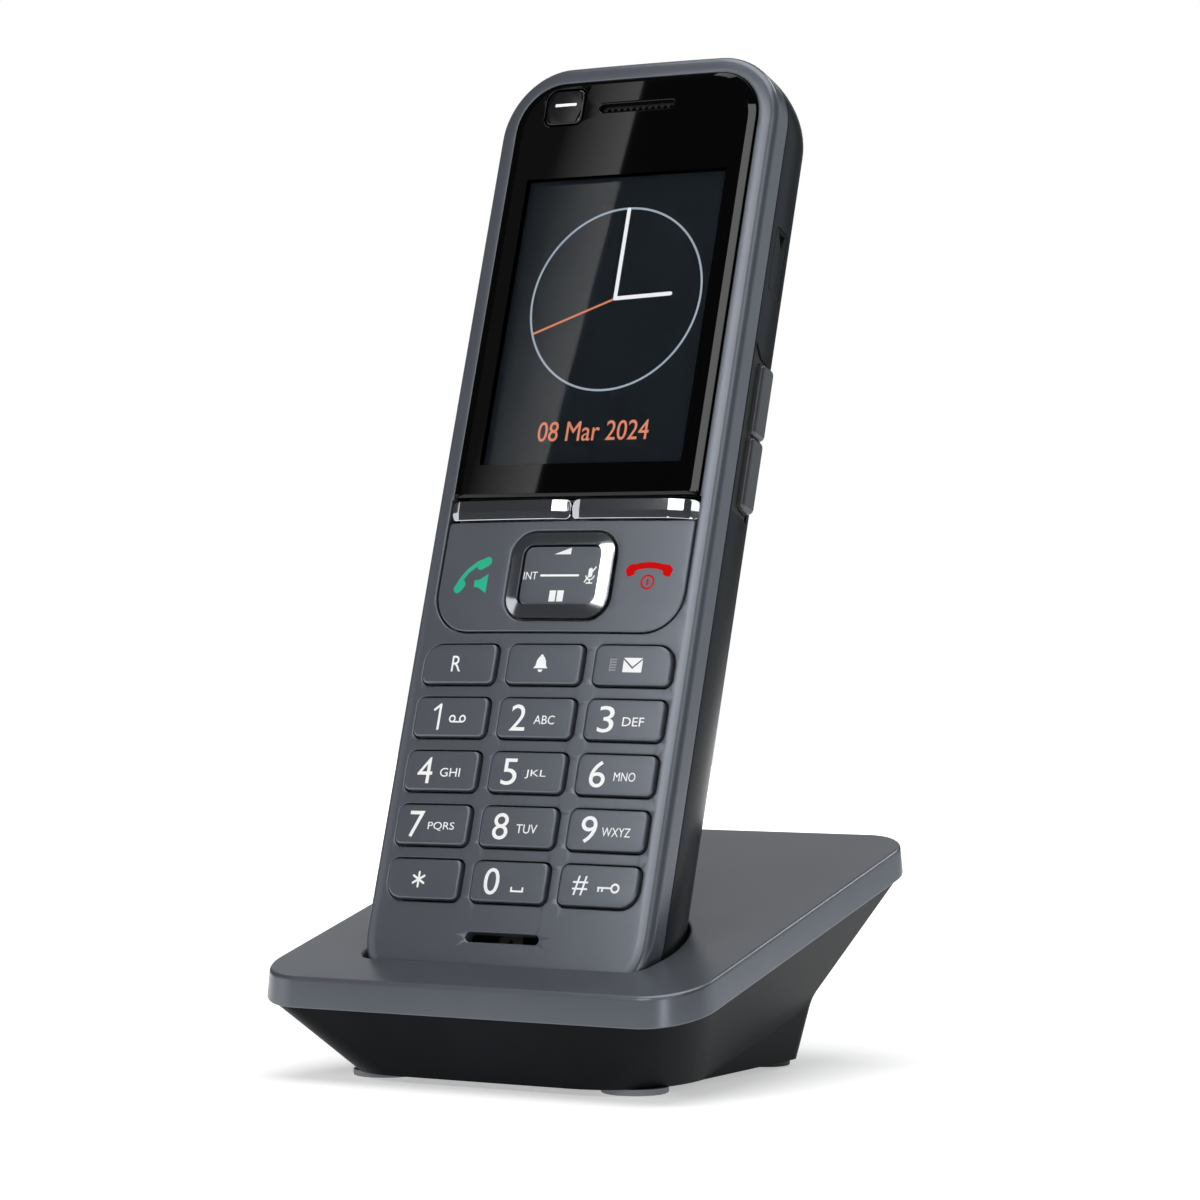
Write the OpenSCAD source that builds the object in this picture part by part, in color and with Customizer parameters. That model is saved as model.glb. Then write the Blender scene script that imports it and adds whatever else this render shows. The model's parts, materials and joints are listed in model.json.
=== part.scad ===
// Cordless phone handset standing in its charging cradle.
// Millimetres, +Z up, front of the cradle towards -Y.
// The origin is on the table, under the middle of the cradle.
// Handset parts are drawn in the handset's own frame: X across, Y along it
// from its lower end, Z outwards from its front face.

/* [Handset] */
// Width of the handset
handset_w = 51; // [50:0.2:51.6]
// Length of the handset, end to end
handset_l = 155.7; // [155.4:0.1:157]
// Thickness of the handset, front face to back
handset_t = 22; // [21.6:0.2:22.6]
// Depth of the seam between the front and rear housings
seam_d = 4.9; // [4.8:0.1:5]
// Corner radius of the handset's outline
corner_r = 11.7; // [11:0.1:12]
// Rounding of the front edge
edge_r = 1.2; // [0.8:0.1:1.4]
// Thickness of the handset's walls
wall = 1.6; // [1.4:0.1:1.8]
// Thickness of the front face behind keys and window
face_t = 2; // [1.9:0.1:2.1]

/* [Window] */
// Width of the display window
window_w = 44.4; // [43.6:0.2:44.8]
// Lower edge of the window, from the handset's lower end
window_low = 81.6; // [81.4:0.1:81.8]
// Upper edge of the window
window_high = 152.6; // [152.2:0.1:152.8]
// Radius of the window's upper corners
window_r = 8; // [7:0.5:9]
// Thickness of the window
window_t = 1.3; // [1.2:0.1:1.4]
// Width of the display's picture
picture_w = 36.72; // [36:0.12:37.2]
// Height of the display's picture
picture_h = 48.96; // [48:0.12:49.2]
// Middle of the picture, from the handset's lower end
picture_mid = 111.5; // [111:0.1:112]

/* [Keys] */
// Width of a keypad key
key_w = 13.3; // [13:0.1:13.6]
// Height of a keypad key
key_h = 6.3; // [6:0.1:6.6]
// Distance between key columns
column_pitch = 15.6; // [15.4:0.1:15.8]
// Distance between key rows
row_pitch = 8.65; // [8.5:0.05:8.8]
// Middle of the top key row, from the handset's lower end
top_row = 54; // [53.8:0.1:54.2]
// Height of the keys above the face
key_rise = 0.6; // [0.4:0.1:0.7]
// Travel of a pressed key
key_travel = 0.5; // [0.3:0.05:0.5]
// Gap around every key
key_gap = 0.3; // [0.2:0.05:0.35]

/* [Call keys and navigation key] */
// Middle of the navigation key, from the handset's lower end
nav_mid = 68.55; // [68.4:0.05:68.7]
// Width of the navigation ring
nav_w = 18.4; // [18:0.1:18.6]
// Height of the navigation ring
nav_h = 13.9; // [13.6:0.1:14.1]
// Width of the call key plate
panel_w = 44.6; // [44:0.1:44.8]
// Lower edge of the call key plate
panel_low = 59.45; // [59.4:0.05:59.6]
// Upper edge of the call key plate
panel_high = 77.5; // [77.3:0.05:77.6]
// Height of the two display keys
soft_h = 3.1; // [2.9:0.05:3.2]

/* [Cradle] */
// Width of the cradle at its skirt
cradle_w = 77.9; // [77:0.1:78.6]
// Depth of the cradle at its skirt
cradle_d = 77.8; // [77.4:0.1:78.4]
// Height of the top surface in the middle of the cradle
cradle_mid_h = 25.7; // [25.5:0.1:26]
// Forward tilt of the top surface, in degrees
top_tilt = 14.4; // [14:0.1:14.8]
// Height of the skirt of the cradle's top
skirt_h = 4.6; // [4.4:0.1:4.8]
// Lean of the handset back from upright, in degrees
lean = 17.45; // [17.2:0.05:17.7]
// Gap around the handset in its pocket
pocket_gap = 0.5; // [0.4:0.05:0.6]
// Wall of the pocket
pocket_wall = 1.5; // [1.3:0.1:1.6]
// Height of the rubber feet
foot_h = 1; // [0.8:0.1:1]

/* [Hidden] */
$fn = 48;
HULL_FN = 32;
half_w = handset_w / 2;

// Where the handset's lower front edge stands
dock_y = -29.85;
dock_z = 11.9;

// Levels behind the front face
lens_bed = -window_t;
key_foot = -2.7;
mat_top = key_foot - key_travel - 0.1;
mat_t = 1.3;
board_top = -5.1;
board_t = 1;
frame_top = -6.3;
frame_t = 1;
tray_out = -20.5;
tray_t = 1.2;

// Battery bay under the battery cover
cover_w = 32;
cover_low = 30.8;
cover_high = 98.2;
cover_t = 1.3;
cover_gap = 0.25;
bay_w = 23.6;
bay_low = 42.5;
bay_high = 92;
bay_floor = -9.6;
cell_r = 5.15;
cell_l = 44.5;
cell_w = -15.3;
cell_low = 45;

// Side controls on the handset's right
volume_low = 81.7;
volume_high = 105.8;
volume_depth = 9.7;
volume_h = 4.1;
flap_low = 117.5;
flap_high = 128.3;
flap_depth = 9.2;
flap_h = 5.4;

// Screws through the rear housing
screw_x = 14;
screw_v = [36.5, 95];

// Charging contacts in the lower end
contact_x = 9;
contact_depth = 8.5;
contact_recess = 0.4;
contact_r = 2.2;
pin_r = 0.9;

// Cradle outlines: half width, front and rear edge, radius of the front and of the rear corners
slope = tan(top_tilt);
skirt_low = cradle_mid_h - skirt_h;
cradle_top_r = 9;
draft = 0.35;
body_inset = 0.65;
waist_level = 4.4;
waist = [27.5, -30.5, 26.5, 18, 5];
bottom = [27, -30, 21.2, 15, 5];
cradle_wall = 1.8;
floor_top = 2.6;
cradle_post = [13.5, 14];

// Rubber feet, and the power socket in the rear wall
front_foot = [22.2, -24.6, 5.1];
rear_foot = [22.4, 16.4, 3.9];
socket_y = 23.6;
socket_l = 14;
power_z = 6.4;

KEY_NAMES = [
    "key_recall", "key_profile", "key_messages",
    "key_1", "key_2", "key_3", "key_4", "key_5", "key_6",
    "key_7", "key_8", "key_9", "key_star", "key_0", "key_hash"
];
HANDSET_NAMES = [
    "front_housing", "rear_housing", "battery_cover", "display_window",
    "display_module", "mid_frame", "earpiece_grille", "earpiece_speaker",
    "ringer_speaker", "microphone", "vibration_motor", "keypad_mat",
    "main_board", "antenna", "battery_cells", "battery_contacts",
    "handset_charge_contacts", "headset_socket", "headset_flap",
    "volume_bezel", "volume_key", "housing_screws", "message_key",
    "soft_key_left", "soft_key_right", "call_key_plate",
    "nav_carrier", "nav_ring", "nav_pad"
];
CRADLE_NAMES = [
    "cradle_top", "cradle_body", "cradle_base_plate", "front_feet",
    "rear_feet", "ballast_weight", "charge_board", "contact_holder",
    "charge_pin_left", "charge_pin_right", "power_socket", "cradle_screws"
];

// ---------- helpers ----------

// Puts the handset's own frame into the cradle's frame
module docked() {
    translate([0, dock_y, dock_z]) rotate([90 - lean, 0, 0]) children();
}

// Rectangle with its own radius at each corner: low left, low right, high right, high left
module round_rect(w, h, radii) {
    sx = [-1, 1, 1, -1];
    sy = [-1, -1, 1, 1];
    polygon([for (i = [0:3], k = [0, 1])
        let (along_x = (i + k) % 2 == 1)
        [sx[i] * (w / 2 - (along_x ? radii[i] : 0)), sy[i] * (h / 2 - (along_x ? 0 : radii[i]))]]);
    for (i = [0:3])
        translate([sx[i] * (w / 2 - radii[i]), sy[i] * (h / 2 - radii[i])]) circle(r = radii[i]);
}

// Flat block with one radius, from level low to level high
module slab(w, h, r, low, high) {
    translate([0, 0, low]) linear_extrude(high - low) round_rect(w, h, [r, r, r, r]);
}

// A child at each corner of the handset's outline
module at_handset_corners(r = corner_r) {
    for (x = [-1, 1], v = [r, handset_l - r])
        translate([x * (half_w - r), v, 0]) children();
}

function front_profile(grow) = [for (a = [90:-15:0])
    [corner_r - edge_r + (edge_r + grow) * cos(a), -edge_r + (edge_r + grow) * sin(a)]];
function rear_profile(grow) = [for (a = [0:9:90])
    [(corner_r + grow) * cos(a), -seam_d - (handset_t - seam_d + grow) * sin(a)]];

// One corner of the handset's outer shape, grown by a margin
module whole_corner(grow) {
    rotate_extrude($fn = HULL_FN)
        polygon(concat([[0, grow]], front_profile(grow), rear_profile(grow)));
}

// The handset's outer shape, grown by a margin
module handset_shape(grow = 0) {
    hull() at_handset_corners() whole_corner(grow);
}

// Outline of the display window
module window_outline(grow = 0) {
    translate([0, (window_low + window_high) / 2])
        round_rect(window_w + 2 * grow, window_high - window_low + 2 * grow,
            [0.6, 0.6, window_r + grow, window_r + grow]);
}

// Outline of the call key plate, rounded at its lower corners
module panel_outline(grow = 0, high = panel_high) {
    translate([0, (panel_low + high) / 2])
        round_rect(panel_w + 2 * grow, high - panel_low + 2 * grow, [6.5, 6.5, 0.6, 0.6]);
}

function key_x(i) = (i % 3 - 1) * column_pitch;
function key_v(i) = top_row - floor(i / 3) * row_pitch;
function is_corner(i, corner) = i == corner ? 2.8 : 1.1;
function key_radii(i) = [is_corner(i, 12), is_corner(i, 14), is_corner(i, 2), is_corner(i, 0)];

// Outline of one keypad key
module key_outline(i, grow = 0) {
    translate([key_x(i), key_v(i)])
        round_rect(key_w + 2 * grow, key_h + 2 * grow, [for (r = key_radii(i)) r + grow]);
}

message_x = -13.4;
message_v = 148.4;
message_size = [6.8, 5.9];
module message_outline(grow = 0) {
    translate([message_x, message_v])
        round_rect(message_size[0] + 2 * grow, message_size[1] + 2 * grow, [1.2, 1.2, 1.2, 1.8]);
}

// ---------- handset housings ----------

module front_housing() {
    color([0.27, 0.29, 0.32]) docked() difference() {
        hull() at_handset_corners() rotate_extrude($fn = HULL_FN)
            polygon(concat([[0, 0]], front_profile(0), [[corner_r, -seam_d], [0, -seam_d]]));
        hull() at_handset_corners(corner_r) translate([0, 0, -seam_d - 1])
            cylinder(r = corner_r - wall, h = seam_d + 1 - face_t, $fn = HULL_FN);
        translate([0, 0, lens_bed]) linear_extrude(window_t + 1) window_outline(0.15);
        translate([0, picture_mid - 0.9, 0]) slab(41.2, 54.6, 0.8, -4, 1);
        translate([0, 0, -4]) linear_extrude(6) panel_outline(key_gap, 81.25 - key_gap);
        for (i = [0:14]) translate([0, 0, -4]) linear_extrude(6) key_outline(i, key_gap);
        translate([0, 0, -4]) linear_extrude(6) message_outline(key_gap);
        translate([0, 147.8, 0]) slab(13, 1.6, 0.75, -4, 1);
        translate([0, 147.8, 0]) slab(15.4, 3.4, 0.75, lens_bed - 0.4, 1);
        translate([0, 10.76, 0]) slab(13, 1.5, 0.74, -4, 1);
    }
}

// Slots in the back for the ringer
ringer_v = 126;
module ringer_slots() {
    for (i = [-2:2]) translate([0, ringer_v + i * 3, 0]) slab(16 - 2 * abs(i), 1.3, 0.64, -30, -15);
}

module rear_housing() {
    color([0.13, 0.135, 0.15]) docked() difference() {
        union() {
            difference() {
                hull() at_handset_corners() rotate_extrude($fn = HULL_FN)
                    polygon(concat([[0, -seam_d - 0.05], [corner_r, -seam_d - 0.05]], rear_profile(0)));
                hull() at_handset_corners() rotate_extrude($fn = HULL_FN)
                    polygon(concat([[0, 0], [corner_r - wall, 0]], rear_profile(-wall)));
            }
            translate([0, (cover_low + cover_high) / 2, 0])
                slab(cover_w + 2.4, cover_high - cover_low + 2.4, 3, tray_out, tray_out + tray_t);
            translate([0, (bay_low + bay_high) / 2, 0])
                slab(bay_w + 2.4, bay_high - bay_low + 2.4, 1.5, tray_out, bay_floor + 1.2);
        }
        translate([0, (cover_low + cover_high) / 2, 0])
            slab(cover_w + 2 * cover_gap, cover_high - cover_low + 2 * cover_gap, 2.5, -30, tray_out);
        translate([0, (bay_low + bay_high) / 2, 0])
            slab(bay_w, bay_high - bay_low, 0.8, -30, bay_floor);
        ringer_slots();
        for (x = [-1, 1], v = screw_v) translate([x * screw_x, v, -30]) {
            cylinder(r = 1.1, h = 20);
            cylinder(r = 1.9, h = 30 + tray_out + 0.8);
        }
        for (x = [-1, 1])
            translate([x * contact_x, -5, -contact_depth]) rotate([-90, 0, 0]) cylinder(r = contact_r + 0.1, h = 8);
        side_cut(volume_low - 0.9, volume_high + 0.9, volume_depth, volume_h + 1.4);
        side_cut(flap_low - 0.15, flap_high + 0.15, flap_depth, flap_h + 0.3);
    }
}

// Opening through the right side wall
module side_cut(low, high, depth, height) {
    translate([half_w, (low + high) / 2, -depth]) rotate([0, 90, 0])
        slab(height, high - low, 0.9, -7, 2);
}

module battery_cover() {
    color([0.12, 0.125, 0.14]) docked() intersection() {
        difference() {
            handset_shape();
            handset_shape(-cover_t);
        }
        translate([0, (cover_low + cover_high) / 2, 0])
            slab(cover_w, cover_high - cover_low, 2.3, -handset_t - 1, tray_out - 0.15);
    }
}

// ---------- display ----------

module display_window() {
    color([0.02, 0.02, 0.025]) docked() difference() {
        translate([0, 0, lens_bed]) linear_extrude(window_t) window_outline();
        translate([0, 0, -3]) linear_extrude(5) message_outline(key_gap);
        translate([0, 147.8, 0]) slab(13.8, 1.3, 0.64, -3, 2);
    }
}

module display_module() {
    color([0.08, 0.09, 0.1]) docked() translate([0, picture_mid - 0.9, 0]) {
        slab(40.6, 54, 0.6, -4.6, -1.9);
        translate([0, 0.9, 0]) slab(picture_w, picture_h, 0.2, -1.9, -1.5);
    }
}

module mid_frame() {
    color([0.16, 0.16, 0.17]) docked() difference() {
        union() {
            translate([0, 70, 0]) slab(44, 124, 7, frame_top - frame_t, frame_top);
            for (x = [-1, 1], v = screw_v) translate([x * screw_x, v, tray_out + tray_t + 0.1])
                cylinder(r = 2.4, h = frame_top - tray_out - tray_t - 0.2);
        }
        for (x = [-1, 1], v = screw_v) translate([x * screw_x, v, -30]) cylinder(r = 1, h = 22.5);
        translate([17, (flap_low + flap_high) / 2, 0]) slab(12.8, 7.6, 0.5, -8, -6);
    }
}

module earpiece_grille() {
    color([0.1, 0.1, 0.1]) docked() translate([0, 147.8, 0]) difference() {
        slab(15, 3, 0.7, lens_bed - 0.35, lens_bed - 0.02);
        for (i = [-5:5]) translate([i * 1.15, 0, -4]) cylinder(r = 0.35, h = 5, $fn = 16);
    }
}

// ---------- speakers, microphone, motor ----------

module earpiece_speaker() {
    color([0.3, 0.3, 0.32]) docked() translate([0, 145.6, -4.9]) {
        cylinder(r = 6.4, h = 1.8);
        translate([0, 0, 1.8]) cylinder(r = 5, h = 0.9);
    }
}

module ringer_speaker() {
    color([0.3, 0.3, 0.32]) docked() translate([0, ringer_v, -17]) {
        cylinder(r = 9, h = 3.6);
        translate([0, 0, 3.6]) cylinder(r = 6.2, h = 2.4);
    }
}

module microphone() {
    color([0.55, 0.55, 0.57]) docked() translate([0, 10.76, -4.9]) difference() {
        cylinder(r = 2.1, h = 2);
        translate([0, 0, 1]) cylinder(r = 0.4, h = 2, $fn = 24);
    }
}

module vibration_motor() {
    color([0.6, 0.6, 0.62]) docked() translate([-16, 19.5, -10.2]) rotate([-90, 0, 0]) {
        cylinder(r = 2.1, h = 9);
        translate([0, 0, 9]) cylinder(r = 0.5, h = 2, $fn = 24);
        translate([0, 0, 10.5]) difference() {
            cylinder(r = 1.9, h = 2.5);
            translate([-3, -3.3, -1]) cube([6, 3, 5]);
        }
    }
}

// ---------- board and keypad ----------

module keypad_mat() {
    color([0.75, 0.75, 0.72]) docked() {
        translate([0, 48.5, 0]) slab(44.6, 67, 4, mat_top - mat_t, mat_top);
        for (i = [0:14]) translate([key_x(i), key_v(i), board_top + 0.15])
            cylinder(r = 1.8, h = mat_top - mat_t - board_top - 0.15, $fn = 24);
    }
}

module main_board() {
    color([0.05, 0.3, 0.15]) docked() difference() {
        union() {
            translate([0, 70, 0]) slab(44, 124, 7, board_top - board_t, board_top);
            translate([-9, 104, 0]) slab(14, 14, 0.4, frame_top + 0.02, board_top - board_t);
            translate([9, 120, 0]) slab(9, 9, 0.4, frame_top + 0.02, board_top - board_t);
        }
        for (x = [-1, 1]) translate([x * 19.5, 70, -7]) cylinder(r = 1.2, h = 3);
    }
}

module antenna() {
    color([0.8, 0.65, 0.3]) docked() {
        translate([0, 140, 0]) slab(26, 3, 0.5, -9.4, -9);
        translate([-12, 133, 0]) slab(2, 14, 0.5, -9.4, -9);
    }
}

// ---------- power ----------

module battery_cells() {
    color([0.2, 0.5, 0.25]) docked() for (x = [-1, 1])
        translate([x * (cell_r + 0.45), cell_low, cell_w]) rotate([-90, 0, 0]) {
            cylinder(r = cell_r, h = cell_l - 1);
            translate([0, 0, cell_l - 1]) cylinder(r = 1.9, h = 1);
        }
}

module battery_contacts() {
    color([0.8, 0.75, 0.6]) docked() {
        for (x = [-1, 1]) translate([x * (cell_r + 0.45), bay_high - 0.7, cell_w])
            rotate([-90, 0, 0]) {
                cylinder(r = 3.4, h = 0.6);
                translate([0, 0, -1.3]) cylinder(r = 1.5, h = 1.3);
            }
        translate([0, bay_low + 0.1, cell_w]) rotate([-90, 0, 0]) slab(18, 7, 1, 0, 0.6);
        for (x = [-1, 1]) translate([x * (cell_r + 0.45), bay_low + 0.7, cell_w])
            rotate([-90, 0, 0]) cylinder(r1 = 3.4, r2 = 2, h = 1.6);
    }
}

module handset_charge_contacts() {
    color([0.85, 0.7, 0.4]) docked() for (x = [-1, 1])
        translate([x * contact_x, contact_recess, -contact_depth]) rotate([-90, 0, 0]) {
            cylinder(r = contact_r, h = 1.9);
            translate([0, 0, 1.9]) cylinder(r = 0.8, h = 3);
        }
}

// ---------- side controls ----------

module headset_socket() {
    color([0.1, 0.1, 0.1]) docked() translate([half_w - 13.6, (flap_low + flap_high) / 2, -flap_depth])
        rotate([0, 90, 0]) difference() {
            union() {
                cylinder(r = 2.5, h = 11);
                translate([0, 0, 4.5]) cube([3.4, 6, 9], center = true);
            }
            translate([0, 0, 1]) cylinder(r = 1.27, h = 12);
        }
}

module headset_flap() {
    color([0.12, 0.125, 0.14]) docked() intersection() {
        difference() {
            handset_shape(-0.05);
            handset_shape(-1.25);
        }
        translate([half_w, (flap_low + flap_high) / 2, -flap_depth]) rotate([0, 90, 0])
            slab(flap_h, flap_high - flap_low, 0.8, -4, 2);
    }
}

module volume_bezel() {
    color([0.03, 0.03, 0.035]) docked() intersection() {
        difference() {
            handset_shape(-0.3);
            handset_shape(-1.9);
        }
        translate([half_w, (volume_low + volume_high) / 2, -volume_depth]) rotate([0, 90, 0])
            difference() {
                slab(volume_h + 1.3, volume_high - volume_low + 1.7, 0.85, -5, 2);
                slab(volume_h + 0.3, volume_high - volume_low + 0.5, 0.8, -6, 3);
            }
    }
}

module volume_key() {
    color([0.1, 0.1, 0.11]) docked()
        translate([half_w, (volume_low + volume_high) / 2, -volume_depth]) rotate([0, 90, 0]) {
            difference() {
                slab(volume_h - 0.1, volume_high - volume_low - 0.3, 0.7, -1.6, 0.55);
                translate([-5, -0.3, 0.15]) cube([10, 0.6, 1]);
            }
            for (v = [-1, 1]) translate([0, v * 8, -2.2]) cylinder(r = 1, h = 0.6, $fn = 24);
            translate([-1.5, 0, -1.7]) rotate([0, 90, 0]) cylinder(r = 0.6, h = 3);
        }
}

module housing_screws() {
    color([0.6, 0.6, 0.62]) docked() for (x = [-1, 1], v = screw_v)
        translate([x * screw_x, v, tray_out + 0.02]) difference() {
            union() {
                cylinder(r = 1.8, h = 0.75);
                cylinder(r = 0.95, h = 9.5);
            }
            translate([-0.25, -1.2, -1]) cube([0.5, 2.4, 1.4]);
            translate([-1.2, -0.25, -1]) cube([2.4, 0.5, 1.4]);
        }
}

// ---------- keys ----------

module keypad_key(i) {
    color([0.3, 0.32, 0.35]) docked() {
        translate([0, 0, -2.2]) linear_extrude(2.2 + key_rise) key_outline(i);
        translate([0, 0, key_foot]) linear_extrude(0.5) key_outline(i, 0.7);
    }
}

module message_key() {
    color([0.02, 0.02, 0.025]) docked() {
        translate([0, 0, -2.1]) linear_extrude(2.2) message_outline();
        translate([0, 0, key_foot]) linear_extrude(0.6) message_outline(0.7);
    }
}

// side is -1 for the left display key and 1 for the right one
soft_low = panel_high + 0.35;
module soft_key(side) {
    w = panel_w / 2 - 0.15;
    color([0.12, 0.13, 0.14]) docked() translate([side * (w / 2 + 0.15), soft_low + soft_h / 2, 0]) {
        slab(w, soft_h, 1.3, -2.2, 0.5);
        slab(w - 2, soft_h - 0.6, 0.6, key_foot, -2.2);
    }
}

module call_key_plate() {
    color([0.3, 0.32, 0.35]) docked() {
        difference() {
            translate([0, 0, -1.3]) linear_extrude(1.3) panel_outline();
            translate([0, nav_mid, 0]) slab(nav_w + 1, nav_h + 1, 4, -3, 2);
        }
        for (x = [-16, 16]) translate([x, nav_mid, -2.6]) cylinder(r = 1.8, h = 1.4, $fn = 32);
    }
}

// The ring and the pad tilt together on a small carrier with a round seat
module nav_carrier() {
    color([0.4, 0.4, 0.42]) docked() translate([0, nav_mid, 0]) {
        difference() {
            slab(nav_w - 6.4, nav_h - 4, 1.5, -2.95, -2.5);
            translate([0, 0, -4]) cylinder(r = 1.5, h = 3);
        }
    }
}

module nav_ring() {
    color([0.7, 0.71, 0.73]) docked() translate([0, nav_mid, 0]) difference() {
        slab(nav_w, nav_h, 3.6, -1.5, 0.7);
        slab(nav_w - 3.4, nav_h - 3.4, 2.2, -3, 2);
    }
}

module nav_pad() {
    color([0.3, 0.32, 0.35]) docked() translate([0, nav_mid, 0]) {
        slab(nav_w - 3.5, nav_h - 3.5, 2.1, -1.5, 0.35);
        slab(nav_w - 1, nav_h - 1, 2.6, -2.2, -1.5);
    }
}

// ---------- cradle ----------

// Moves a child up with the tilted top, keeping its sides upright
module sheared() {
    multmatrix([[1, 0, 0, 0], [0, 1, 0, 0], [0, slope, 1, 0], [0, 0, 0, 1]]) children();
}

// A child at each corner of the skirt
module at_skirt() {
    x = cradle_w / 2 - cradle_top_r;
    y = cradle_d / 2 - cradle_top_r;
    for (sx = [-1, 1], sy = [-1, 1]) translate([sx * x, sy * y, 0]) children();
}

// A post at each corner of a cradle outline, moved in by d
module corner_posts(outline, d, low, high) {
    for (sx = [-1, 1]) {
        translate([sx * (outline[0] - outline[3]), outline[1] + outline[3], low])
            cylinder(r = outline[3] - d, h = high - low);
        translate([sx * (outline[0] - outline[4]), outline[2] - outline[4], low])
            cylinder(r = outline[4] - d, h = high - low);
    }
}

skirt = [cradle_w / 2, -cradle_d / 2, cradle_d / 2, cradle_top_r, cradle_top_r];

// Outer shape of the cradle's body below the skirt, with its skin moved in by d
module body_shape(d, low) {
    intersection() {
        union() {
            hull() {
                sheared() corner_posts(skirt, body_inset + d, skirt_low - 0.3, skirt_low - 0.1 + d);
                sheared() corner_posts(waist, d, waist_level, waist_level + 0.2);
            }
            hull() {
                sheared() corner_posts(waist, d, waist_level, waist_level + 0.2);
                corner_posts(bottom, d, foot_h - 1, foot_h - 0.8);
            }
        }
        translate([-50, -50, low]) cube([100, 100, 60]);
    }
}

module cradle_body() {
    color([0.07, 0.075, 0.08]) difference() {
        body_shape(0, foot_h);
        body_shape(cradle_wall, floor_top);
        translate([-17, -25, 0]) cube([34, 34, 10]);
        translate([0, socket_y + 4, power_z]) rotate([90, 0, 0]) cylinder(r = 4.2, h = 10);
        for (x = [-1, 1]) translate([x * cradle_post[0], cradle_post[1], 0]) {
            cylinder(r = 1.5, h = 6);
            cylinder(r = 2.6, h = foot_h + 0.9);
        }
    }
}

// Everything under the tilted top surface, lowered by d
module under_top(d) {
    translate([0, 0, cradle_mid_h - d]) rotate([top_tilt, 0, 0]) translate([-60, -60, -60]) cube([120, 120, 60]);
}

module cradle_top() {
    top_edge = 0.6;
    color([0.27, 0.29, 0.32]) difference() {
        union() {
            difference() {
                hull() sheared() at_skirt() rotate_extrude($fn = HULL_FN) polygon([
                    [0, skirt_low], [cradle_top_r, skirt_low],
                    for (a = [0:30:90]) [
                        cradle_top_r - draft - top_edge * (1 - cos(a)),
                        cradle_mid_h - top_edge * (1 - sin(a))],
                    [0, cradle_mid_h]]);
                hull() sheared() at_skirt() translate([0, 0, skirt_low - 1])
                    cylinder(r = cradle_top_r - wall - 0.3, h = skirt_h + 1 - wall, $fn = HULL_FN);
            }
            intersection() {
                docked() handset_shape(pocket_gap + pocket_wall);
                under_top(0.3);
            }
            for (x = [-1, 1]) intersection() {
                translate([x * cradle_post[0], cradle_post[1], floor_top + 0.1]) cylinder(r = 2.8, h = 30);
                under_top(0.8);
            }
        }
        docked() handset_shape(pocket_gap);
        docked() for (x = [-1, 1])
            translate([x * contact_x, -6, -contact_depth]) rotate([-90, 0, 0]) cylinder(r = 1.3, h = 8);
        for (x = [-1, 1])
            translate([x * cradle_post[0], cradle_post[1], 0]) cylinder(r = 1.2, h = 14);
    }
}

module cradle_base_plate() {
    color([0.07, 0.075, 0.08]) difference() {
        translate([0, -8, 0]) slab(33.6, 33.6, 1.5, foot_h + 0.02, floor_top);
        for (x = [-2:2]) translate([x * 4, -8, 0]) slab(1.2, 14, 0.59, 0, 5);
    }
}

// Two round feet, given as the place and radius of the right one
module feet(place) {
    for (x = [-1, 1]) translate([x * place[0], place[1], 0]) cylinder(r = place[2], h = foot_h - 0.02);
}

module front_feet() {
    color([0.45, 0.46, 0.47]) feet(front_foot);
}

module rear_feet() {
    color([0.03, 0.03, 0.03]) feet(rear_foot);
}

module ballast_weight() {
    color([0.5, 0.5, 0.52]) translate([0, 4, 0]) slab(30, 10, 1.5, floor_top + 0.1, 9.8);
}

module charge_board() {
    color([0.05, 0.3, 0.15]) difference() {
        translate([0, 10.5, 0]) slab(20, 16.5, 1, 12.2, 13.4);
        for (x = [-1, 1]) translate([x * 8, 16, 0]) cylinder(r = 1, h = 20);
    }
}

module contact_holder() {
    color([0.2, 0.2, 0.22]) docked() difference() {
        translate([0, -4.05, -contact_depth]) cube([24, 3.5, 4.6], center = true);
        for (x = [-1, 1]) translate([x * contact_x, -8, -contact_depth])
            rotate([-90, 0, 0]) cylinder(r = pin_r + 0.05, h = 8);
    }
}

module charge_pin(side) {
    color([0.85, 0.7, 0.4]) docked() translate([side * contact_x, -5.6, -contact_depth])
        rotate([-90, 0, 0]) {
            cylinder(r = pin_r, h = 5.25);
            translate([0, 0, 5.25]) cylinder(r1 = pin_r, r2 = 0.5, h = 0.5);
        }
}

module power_socket() {
    color([0.05, 0.05, 0.05]) translate([0, socket_y, power_z]) rotate([90, 0, 0]) {
        difference() {
            cylinder(r = 3.7, h = socket_l);
            translate([0, 0, -1]) cylinder(r = 2.75, h = 10.5);
        }
        translate([0, 0, 2]) cylinder(r = 0.65, h = 8, $fn = 24);
    }
}

module cradle_screws() {
    color([0.6, 0.6, 0.62]) for (x = [-1, 1]) translate([x * cradle_post[0], cradle_post[1], foot_h + 0.05])
        difference() {
            union() {
                cylinder(r = 2.4, h = 0.8);
                cylinder(r = 1.15, h = 9);
            }
            translate([-0.3, -1.5, -1]) cube([0.6, 3, 1.5]);
            translate([-1.5, -0.3, -1]) cube([3, 0.6, 1.5]);
        }
}

// ---------- assembly ----------

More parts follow.
